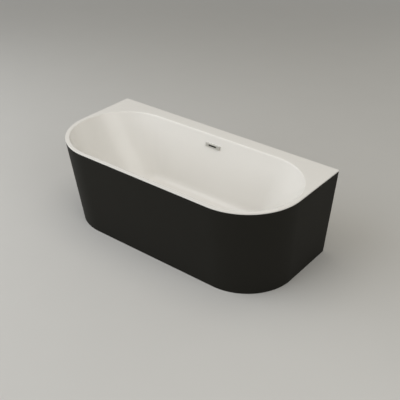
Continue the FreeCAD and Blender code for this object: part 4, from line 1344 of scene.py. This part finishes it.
@dataclass
class Cradle:
    """The steel cradle: two rails, four crossbars, their bolts, and the board's screws."""

    corner: float = 3.0
    wall: float = 2.0
    section: float = 30.0
    edge: float = 0.25
    bolt_flats: float = 13.0
    bolt_radius: float = 4.0
    head: float = 5.5
    grip: float = 4.0
    board_screw: float = 42.0
    screw_radius: float = 4.6

    def _tube(self, node: str) -> None:
        """Make a square tube with rolled corners.

        Args:
            node: the node that it stands for.
        """
        low, high = corners(node)
        size = high - low
        form = Form.box(low, high)
        long_axis = max(range(3), key=lambda axis: size[axis])
        ends = [face for face in form.bm.faces if abs(face.normal[long_axis]) > 0.9]
        bmesh.ops.delete(form.bm, geom=ends, context="FACES_ONLY")
        form.soften(self.corner, 4).thicken(self.wall).soften(self.edge, 1, 50.0)
        form.stand_for(node, Finishes.STEEL, "tube")

    def build(self) -> None:
        """Make the tubes, bolts and screws."""
        rails = [f"frame_rail_{side}" for side in ("front", "rear")]
        bars = [f"frame_crossbar_{number}" for number in range(1, 5)]
        for node in rails + bars:
            self._tube(node)
        bolt = hexagon(self.bolt_flats, -self.head, 0.0, 0.0, (True, False))
        radius, length = self.bolt_radius, self.section + self.wall + self.grip
        inside = -1.0
        shank = [(0.0, inside), (radius, inside), (radius, length - 1.0), (radius - 0.8, length),
                 (0.0, length)]
        bottom = corners(rails[0])[0].z
        places = [at((middle(bar).x, middle(rail).y, bottom)) for bar in bars for rail in rails]
        bolts = bolt.add(Form().spin(shank, 24).weld()).repeat(places)
        bolts.hand_over("cradle_bolts", Finishes.ZINC, "bath", ["frame_bolts"])

        low, high = corners("board_screws")
        rows = (low.y + self.screw_radius, high.y - self.screw_radius)
        places = [at((middle(bar).x, row, low.z + SCREW_HEAD)) for bar in bars for row in rows]
        pan_screw(self.board_screw).repeat(places).stand_for("board_screws", Finishes.ZINC)


@dataclass
class Feet:
    """Five levelling feet: a pad, a threaded stud with its hexagon, and two nuts each."""

    names: tuple[str, ...] = (
        "front_left", "front_centre", "front_right", "rear_left", "rear_right",
    )
    pitch: float = 1.75
    stud_radius: float = 6.0
    thread_depth: float = 0.75
    thread_steps: int = 20
    play: float = 0.05
    flats: float = 19.0
    nut_height: float = 10.0
    collar: float = 7.0
    pad_radius: float = 25.0
    pad_top: float = 15.0
    pad_height: float = 14.0
    socket: float = 8.0

    def _stud(self, low: float, high: float) -> Form:
        """Return a stud: a right-handed thread over its whole length, and the hexagon on it.

        Args:
            low: the height of its bottom.
            high: the height of its top.

        Returns:
            The stud.
        """
        root = self.stud_radius - self.thread_depth
        tooth = [
            (root, 0.0), (root, 0.22), (self.stud_radius, 0.72), (self.stud_radius, 0.92),
            (root, 1.42), (root, self.pitch),
        ]
        count = int((high - low - 2.0) / self.pitch) - 1
        thread = Form().spin(tooth, self.thread_steps, self.pitch)
        thread.repeat([at((0, 0, low + 1.0 + step * self.pitch)) for step in range(count)])
        thread.weld(outward=False)
        bmesh.ops.holes_fill(thread.bm, edges=thread.bm.edges, sides=2 * self.thread_steps)
        thread.weld()
        for end, way in ((low, 1.0), (high, -1.0)):
            profile = [(0.0, end), (root - 0.6, end), (root, end + way * 0.7),
                       (root, end + way * 3.5), (0.0, end + way * 3.5)]
            thread.add(Form().spin(profile, self.thread_steps).weld())
        collar = (self.pad_height, self.pad_height + self.collar)
        return thread.add(hexagon(self.flats, *collar, root - 0.3))

    def _pad(self) -> Form:
        """Return a pad: a round foot with a ribbed cone up to the stud's socket.

        Returns:
            The pad.
        """
        bottom = self.pad_height - self.socket
        bore = self.stud_radius + self.play
        profile = [
            (0.0, 0.0), (self.pad_radius - 1.0, 0.0), (self.pad_radius, 1.0),
            (self.pad_radius, 6.2), (self.pad_radius - 0.8, 7.2), (self.pad_top + 1.0, 13.2),
            (self.pad_top, self.pad_height), (self.stud_radius + 1.0, self.pad_height),
            (bore, 13.2), (bore, bottom), (0.0, bottom),
        ]
        form = Form().spin(profile, 72).weld()
        ridge = Form.box(Vector((16.0, -1.0, 5.0)), Vector((23.0, 1.0, 10.6)))
        for vert in ridge.bm.verts:
            if vert.co.x > 20 and vert.co.z > 8:
                vert.co.z = 7.6
        ridge.soften(0.4)
        turns = [Matrix.Rotation(math.radians(30 * step), 4, "Z") for step in range(12)]
        return form.add(ridge.repeat(turns))

    def build(self) -> None:
        """Make the pads, studs and nuts."""
        nuts = hexagon(self.flats, 0.0, self.nut_height, self.stud_radius + self.play)
        low, high = corners(f"foot_stud_{self.names[0]}")
        levels = (corners("foot_nuts")[0].z, corners("frame_rail_front")[1].z)
        stud = self._stud(low.z, high.z)
        kinds = (("pad", self._pad(), Finishes.FOOT), ("stud", stud, Finishes.ZINC))
        places = []
        for name in self.names:
            centre = middle(f"foot_pad_{name}")
            places += [at((centre.x, centre.y, height)) for height in levels]
            for kind, shape, finish in kinds:
                foot = Form().add(shape).move(at((centre.x, centre.y, 0.0)))
                foot.hand_over(
                    f"levelling_{kind}_{name}", finish, f"{kind}_{name}", [f"foot_{kind}_{name}"]
                )
        nuts.repeat(places).hand_over("levelling_nuts", Finishes.ZINC, "bath", ["foot_nuts"])


@dataclass
class Brackets:
    """The steel angles from the cradle to the skirt and from the deck batten to the wall."""

    steel: float = 2.5
    edge: float = 0.45
    screw: float = 14.5
    skirt_screw_drop: float = 36.4
    rail_screw_inset: float = 20.0
    behind_face: float = 26.5
    wall_screw_step: float = 12.5

    @staticmethod
    def _facing(seat: Sequence[float], direction: Sequence[float]) -> Matrix:
        """Return the place of a screw, its head on seat and its shank along direction."""
        turn = Vector(direction).to_track_quat("Z", "Y").to_matrix().to_4x4()
        return at(seat) @ turn

    def _skirt_screws(self) -> list[Matrix]:
        """Return the screws of the skirt's brackets: one up into a rail, one into a batten each.

        Returns:
            Their places.
        """
        rail = corners("frame_rail_front")[0].z
        low = rail - self.skirt_screw_drop
        spent = 1 - low / Skirt.top
        front_tilt, side_tilt = (
            math.atan2(lean, Skirt.top) for lean in (Skirt.front_lean, Skirt.side_lean)
        )
        front, rear = middle("frame_rail_front").y, middle("frame_rail_rear").y
        row = Skirt.front + Skirt.front_lean * spent + self.behind_face
        side = Skirt.half_length - Skirt.side_lean * spent - self.behind_face
        inner = corners("frame_rail_rear")[1].x - self.rail_screw_inset
        places = []
        for way, name in ((-1.0, "left"), (1.0, "right")):
            x = middle(f"skirt_bracket_front_{name}").x
            places += [
                self._facing((x, front, rail - self.steel), UP),
                self._facing((x, row, low), (0.0, -math.cos(front_tilt), -math.sin(front_tilt))),
                self._facing((way * inner, rear, rail - self.steel), UP),
                self._facing(
                    (way * side, rear, low), (way * math.cos(side_tilt), 0.0, -math.sin(side_tilt))
                ),
            ]
        return places

    def build(self) -> None:
        """Make the brackets and their screws."""
        for name in ("front_left", "front_right", "left", "right"):
            keep_shape(f"skirt_bracket_{name}", Finishes.STEEL, self.edge)
        for side in ("left", "right"):
            keep_shape(f"wall_bracket_{side}", Finishes.STEEL, self.edge)
        screws = pan_screw(self.screw).repeat(self._skirt_screws())
        screws.hand_over("bracket_screws", Finishes.ZINC, "bath", ["skirt_bracket_screws"])
        low, high = corners("wall_bracket_screws")
        row, seat = (low.y + high.y) / 2, low.z + SCREW_HEAD
        places = [
            self._facing((middle(f"wall_bracket_{side}").x + step, row, seat), UP)
            for side in ("left", "right") for step in (-self.wall_screw_step, self.wall_screw_step)
        ]
        screws = pan_screw(self.screw).repeat(places)
        screws.hand_over("deck_screws", Finishes.ZINC, "bath", ["wall_bracket_screws"])


@dataclass
class Overflow:
    """The slotted overflow on the back wall, and the pipe down to the waste."""

    screw: float = 17.0
    screw_x: float = 43.0
    screw_seat: float = 2.0
    pipe_radius: float = 16.0
    pipe_bend: float = 120.0
    pitch: float = 5.0
    groove: float = 1.5
    groove_section: tuple[float, ...] = (0.0, 0.35, 1.0, 0.35)
    cuff: float = 24.0
    pipe_columns: int = 28
    nut_bore: float = 18.6
    nut_radius: float = 22.6

    def _step(self) -> float:
        """Return the distance between the pipe's rings."""
        return self.pitch / len(self.groove_section)

    def _path(self) -> list[tuple[Vector, Vector]]:
        """Return the pipe's middle line, down, round its bend and along.

        Returns:
            Points a step apart, and the line's direction at each.
        """
        low, high = corners("overflow_pipe")
        y, floor = high.y - self.pipe_radius, low.z + self.pipe_radius
        fall = high.z - floor - self.pipe_bend
        bend = self.pipe_bend * math.pi / 2
        run = y - self.pipe_bend - low.y
        total = fall + bend + run
        centre = Vector((0, y - self.pipe_bend, floor + self.pipe_bend))
        found = []
        for share in shares(round(total / self._step())):
            gone = share * total
            if gone <= fall:
                found.append((Vector((0, y, high.z - gone)), -UP))
            elif gone <= fall + bend:
                angle = (gone - fall) / self.pipe_bend
                arm = Vector((0, math.cos(angle), -math.sin(angle)))
                along = Vector((0, -math.sin(angle), -math.cos(angle)))
                found.append((centre + arm * self.pipe_bend, along))
            else:
                point = Vector((0, centre.y - (gone - fall - bend), floor))
                found.append((point, Vector((0, -1, 0))))
        return found

    def _pipe(self) -> Form:
        """Return the convoluted pipe with a plain cuff at each end.

        Returns:
            The pipe, in its place.
        """
        path, side = self._path(), Vector((1, 0, 0))
        cuffs = round(self.cuff / self._step())
        angles = round_angles(self.pipe_columns)
        rows = [[path[0][0]] * len(angles)]
        for index, (point, direction) in enumerate(path):
            plain = index < cuffs or index > len(path) - 1 - cuffs
            section = self.groove_section[index % len(self.groove_section)]
            radius = self.pipe_radius - (0.0 if plain else self.groove * section)
            up = direction.cross(side)
            rows.append([
                point + (side * math.cos(angle) + up * math.sin(angle)) * radius for angle in angles
            ])
        rows.append([path[-1][0]] * len(angles))
        return Form().skin(rows).weld()

    def _pipe_nut(self, node: str, axis: Direction) -> None:
        """Make the ribbed clamp ring round a socket.

        Args:
            node: the node that it stands for.
            axis: which way the ring's top points.
        """
        low, high = corners(node)
        inner, outer = self.nut_bore, self.nut_radius
        length = high.z - low.z if axis is Direction.UP else high.y - low.y
        profile = [
            (inner, 0.0, 0.0), (outer - 1.6, 0.0, 0.0), (outer - 0.9, 0.9, 0.0), (outer, 1.6, 0.9),
            (outer, length - 4.0, 0.9), (outer - 0.9, length - 3.4, 0.0),
            (outer - 0.9, length - 0.8, 0.0), (outer - 1.7, length, 0.0), (inner, length, 0.0),
        ]
        start = (low + high) / 2
        if axis is Direction.UP:
            start.z = low.z
        else:
            start.y = low.y
        ring = ribbed_ring(profile, 20).move(at(start) @ axis.matrix())
        ring.stand_for(node, Finishes.NUT, "ribbed")

    def build(self) -> None:
        """Make the overflow and its pipe."""
        keep_shape("overflow_cover", Finishes.COVER, 0.35)
        # the front plate takes a painted shade finish, so the cover's slot reads black
        keep_shape("overflow_front_plate", Finishes.PAINTED_SHADE_GREY, 0.2, 1)
        keep_shape("overflow_seal", Finishes.RUBBER, 0.3, 1)
        keep_shape("overflow_body", Finishes.GREY)
        place, flip = Basin().overflow_place(), Matrix.Rotation(math.pi, 4, "X")
        screws = pan_screw(self.screw).repeat([
            place @ at((x, 0.0, self.screw_seat)) @ flip for x in (-self.screw_x, self.screw_x)
        ])
        screws.stand_for("overflow_screws", Finishes.STAINLESS)
        self._pipe().stand_for("overflow_pipe", Finishes.PIPE, "ribbed")
        self._pipe_nut("overflow_pipe_nut_top", Direction.UP)
        self._pipe_nut("overflow_pipe_nut_bottom", Direction.TO_WALL)


@dataclass
class Waste:
    """The waste through the floor and its push-open plug."""

    spring_turns: float = 3.0
    spring_radius: float = 6.3
    wire: float = 0.7
    closed_spring: float = 5.0
    cap_radius: float = 31.0
    cap_dome: float = 2.0
    stem_radius: float = 4.5

    @staticmethod
    def _turned(
        node: str, profile: Sequence[tuple[float, float]], finish: Finish, suffix: str = "turned",
        body: str = "bath", closed: bool = False,
    ) -> None:
        """Make a piece turned about the waste's axis.

        Args:
            node: the node that it stands for.
            profile: (radius, height) points.
            finish: what it is made of.
            suffix: what its name adds to the node's.
            body: the frame's body that it moves with.
            closed: whether the profile's last point joins its first.
        """
        form = Form().spin(profile, 72, closed=closed).weld()
        form.move(at((0, MIDDLE_Y, 0))).stand_for(node, finish, suffix, body)

    def _flange(self) -> None:
        """Make the polished flange in the floor's recess, with its threaded tube."""
        top = corners("waste_flange")[1].z
        thread = []
        for step in range(9):
            ridge = top - 5.0 - 1.5 * step
            thread += [(25.0, ridge), (24.5, ridge - 0.75)]
        profile = [
            (22.5, top - 0.6), (23.1, top), (33.6, top), (34.6, top - 0.35), (35.0, top - 1.1),
            (35.0, top - 2.0), (25.0, top - 2.0), *thread, (24.6, top - 19.0), (22.5, top - 19.0),
        ]
        self._turned("waste_flange", profile, Finishes.CHROME, closed=True)

    def _plug(self) -> None:
        """Make the plug: a domed cap, its seal and the stem that it slides on."""
        low, high = (corner.z for corner in corners("plug_cap"))
        radius, drop = self.cap_radius, self.cap_dome
        dome = [(radius * share, high - drop * share * share) for share in shares(10)]
        cap = [*dome[:-1], (radius - 0.4, high - drop), (radius, high - drop - 0.5),
               (radius, low + 0.5), (radius - 0.5, low), (0.0, low)]
        self._turned("plug_cap", cap, Finishes.CHROME, "polished", "plug")
        low, high = (corner.z for corner in corners("plug_seal"))
        seal = [
            (24.5, low + 0.5), (25.0, low + 0.06), (27.6, low + 0.06), (28.3, low + 0.4),
            (28.5, low + 1.0), (28.5, high), (24.5, high),
        ]
        self._turned("plug_seal", seal, Finishes.RUBBER, body="plug", closed=True)
        low, high = (corner.z for corner in corners("plug_stem"))
        radius, root, grooves = self.stem_radius, self.stem_radius - 0.5, []
        for step in range(5):
            edge = low + 5.0 + 1.6 * step
            grooves += [(radius, edge), (root, edge + 0.3), (root, edge + 0.7), (radius, edge + 1.0)]
        stem = [(0.0, low), (3.7, low), (radius, low + 0.8), *grooves, (radius, high), (0.0, high)]
        self._turned("plug_stem", stem, Finishes.STAINLESS, body="plug")

    def _spring(self) -> None:
        """Make the spring under the cap, which the plug's travel closes up."""
        low, high = corners("plug_spring")
        rise = high.z - low.z - 2 * self.wire
        ring = [
            (self.spring_radius + self.wire * math.cos(angle), self.wire * math.sin(angle))
            for angle in round_angles(10)[:-1]
        ]
        form = Form().spin(ring, 40, rise / self.spring_turns, self.spring_turns, closed=True)
        bmesh.ops.holes_fill(form.bm, edges=form.bm.edges, sides=12)
        form.weld().move(at((0, MIDDLE_Y, low.z + self.wire)))
        spring = form.stand_for("plug_spring", Finishes.STAINLESS, "wound")
        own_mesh(spring)

    def build(self) -> None:
        """Make the waste and its plug."""
        self._flange()
        for node in ("waste_upper_seal", "waste_lower_seal"):
            keep_shape(node, Finishes.RUBBER, 0.25)
        keep_shape("waste_body", Finishes.WHITE)
        keep_shape("plug_guide", Finishes.GREY, 0.3)
        self._plug()
        self._spring()


@dataclass
class Trap:
    """The bottle trap under the waste, its cap and nuts, and the pipe to the drain."""

    wall: float = 3.0
    cap_spigot: float = 6.0

    @staticmethod
    def _size(node: str, axis: Direction) -> tuple[float, float, Matrix]:
        """Return what a turned piece takes from the node that it stands for.

        Args:
            node: the node's name.
            axis: which way the piece's top points.

        Returns:
            Its outer radius, its length and its place.
        """
        low, high = corners(node)
        if axis is Direction.UP:
            return (high.x - low.x) / 2, high.z - low.z, at((0, MIDDLE_Y, low.z))
        place = at((0, low.y, (low.z + high.z) / 2)) @ axis.matrix()
        return (high.x - low.x) / 2, high.y - low.y, place

    def build(self) -> None:
        """Make the trap."""
        outer, length, place = self._size("trap_union_nut", Direction.UP)
        union = [
            (23.8, 0.0, 0.0), (outer - 1.6, 0.0, 0.0), (outer, 1.6, 1.2), (outer, length - 3.0, 1.2),
            (outer - 1.2, length - 2.2, 0.0), (outer - 1.2, length - 0.6, 0.0),
            (outer - 1.8, length, 0.0), (28.85, length, 0.0), (28.85, 4.0, 0.0), (23.8, 4.0, 0.0),
        ]
        ribbed_ring(union, 24).move(place).stand_for("trap_union_nut", Finishes.NUT, "ribbed")

        keep_shape("trap_body", Finishes.WHITE, body="trap")

        outer, length, place = self._size("trap_cap", Direction.UP)
        lip = length - self.cap_spigot
        cap = [
            (0.0, 0.0, 0.0), (outer - 6.0, 0.0, 0.0), (outer - 1.4, 0.0, 0.0), (outer, 1.4, 1.1),
            (outer, lip - 1.2, 1.1), (outer - 1.2, lip, 0.0), (outer - self.wall, lip, 0.0),
            (outer - self.wall, length, 0.0), (0.0, length, 0.0),
        ]
        form = ribbed_ring(cap, 30, closed=False).move(place)
        form.stand_for("trap_cap", Finishes.WHITE, "ribbed", "trap")

        outer, length, place = self._size("trap_outlet_nut", Direction.TO_WALL)
        nut = [
            (23.3, 0.0, 0.0), (outer - 1.4, 0.0, 0.0), (outer, 1.4, 1.1), (outer, length - 4.5, 1.1),
            (outer - 1.1, length - 3.6, 0.0), (outer - 1.1, length - 0.8, 0.0),
            (outer - 1.9, length, 0.0), (23.3, length, 0.0),
        ]
        form = ribbed_ring(nut, 22).move(place)
        form.stand_for("trap_outlet_nut", Finishes.NUT, "ribbed", "trap")

        _, length, place = self._size("trap_outlet_pipe", Direction.TO_WALL)
        pipe = [
            (17.5, 0.0), (19.3, 0.0), (19.7, 0.6), (19.7, 36.0), (20.0, 36.3), (20.0, length - 1.2),
            (19.2, length), (17.5, length),
        ]
        form = Form().spin(pipe, 72, closed=True).weld().move(place)
        form.stand_for("trap_outlet_pipe", Finishes.WHITE, "turned", "trap")


# ---- the studio -----------------------------------------------------------------------------


@dataclass(frozen=True)
class Lamp:
    """A soft square lamp that looks at the middle of the bath, its place and size in metres."""

    name: str
    where: Triple
    watts: float
    size: float
    colour: Triple
    AIM: ClassVar[Vector] = Vector((0.0, 0.0, 0.4))

    def hang(self) -> None:
        """Put the lamp in the scene, out of the camera's sight."""
        data = bpy.data.lights.new(self.name, "AREA")
        data.energy = self.watts
        data.size = self.size
        data.color = self.colour
        lamp = in_scene(self.name, data)
        lamp.location = self.where
        lamp.rotation_euler = (Vector(self.where) - self.AIM).to_track_quat("Z", "Y").to_euler()
        lamp.visible_camera = False


@dataclass
class Studio:
    """The floor, lamps, background and camera, their places in metres."""

    place: Triple = (2.50774, -3.01163, 2.64926)
    azimuth: float = 38.31
    elevation: float = 31.37
    lens: float = 64.94
    sensor: float = 36.0
    shift: float = 0.00125
    clip: float = 100.0
    floor_colour: Triple = (0.64, 0.64, 0.64 * 0.985)
    floor_half_size: float = 40.0
    floor_drop: float = 0.0005
    fade_start: float = 2.5
    fade_end: float = 13.0
    ambient: float = 0.225
    ambient_colour: Triple = (1.0, 0.961, 0.85)
    backdrop: Triple = (0.5, 0.498, 0.49)
    lamps: tuple[Lamp, ...] = (
        Lamp("key", (-2.5, -4.7, 3.9), 188.0, 6.0, (0.942, 0.964, 1.0)),
        Lamp("fill", (4.0, -1.2, 3.0), 58.5, 3.2, (1.0, 0.989, 0.96)),
        Lamp("left", (-4.5, -1.5, 2.2), 51.5, 3.0, (0.969, 0.981, 1.0)),
        Lamp("top", (0.0, -0.5, 5.0), 52.0, 4.0, (1.0, 0.925, 0.815)),
        Lamp("wall_side", (1.6, 4.8, 2.0), 17.0, 3.0, (1.0, 0.976, 0.924)),
    )

    def _camera(self) -> None:
        """Set the camera where the bath is seen from its front right corner, from above."""
        data = bpy.data.cameras.new("camera")
        data.lens = self.lens
        data.sensor_width = self.sensor
        data.shift_x = -self.shift
        data.shift_y = self.shift
        data.clip_end = self.clip
        camera = in_scene("camera", data)
        camera.location = self.place
        tilt = math.radians(90 - self.elevation)
        camera.rotation_euler = (tilt, 0.0, math.radians(self.azimuth))
        bpy.context.scene.camera = camera

    def _floor(self) -> None:
        """Lay a plain pale floor that passes into the backdrop far off."""
        form = Form()
        bmesh.ops.create_grid(form.bm, x_segments=2, y_segments=2, size=self.floor_half_size)
        mesh = form.mesh("floor")
        bench = Bench.for_material("pale_floor")
        stops = ((0.3, shade(self.floor_colour, 0.99)), (0.7, self.floor_colour))
        colour = bench.ramp(bench.noise(3.0), *stops)
        near = bench.principled(Base_Color=colour, Roughness=0.8, Specular_IOR_Level=0.2)
        far = bench.node("ShaderNodeEmission", None, {"Color": (*self.backdrop, 1.0)})
        length = {"operation": "LENGTH"}
        away = bench.node("ShaderNodeVectorMath", length, {0: bench.place()}, "Value")
        fade = bench.node(
            "ShaderNodeMapRange", {"interpolation_type": "SMOOTHERSTEP"},
            {0: away, 1: self.fade_start, 2: self.fade_end},
        )
        mixed = bench.node("ShaderNodeMixShader", None, {0: fade * bench.seen(), 1: near, 2: far})
        mesh.materials.append(bench.finish(mixed))
        floor = in_scene("floor", mesh)
        floor.location.z = -self.floor_drop

    def _world(self) -> None:
        """Light from all round, and show a pale backdrop to the camera and in gloss."""
        world = bpy.data.worlds.new("studio")
        bpy.context.scene.world = world
        bench = Bench(world)
        light, backdrop = (
            bench.node("ShaderNodeBackground", None, {"Color": (*colour, 1.0), "Strength": strength})
            for colour, strength in ((self.ambient_colour, self.ambient), (self.backdrop, 1.0))
        )
        shown = bench.node("ShaderNodeMixShader", None, {0: bench.seen(), 1: light, 2: backdrop})
        bench.node("ShaderNodeOutputWorld", None, {"Surface": shown})

    def build(self) -> None:
        """Set up the studio."""
        self._camera()
        self._floor()
        self._world()
        for lamp in self.lamps:
            lamp.hang()
        bpy.context.scene.view_settings.view_transform = "Standard"


def main() -> None:
    """Build the bath round its frame."""
    logging.basicConfig(level=logging.INFO, format="%(name)s %(message)s")
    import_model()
    for kind in (Studio, Basin, Skirt, Timber, Cradle, Feet, Brackets, Overflow, Waste, Trap):
        LOG.info("building %s", kind.__name__)
        kind().build()
    bpy.context.view_layer.update()


if __name__ == "__main__":
    main()
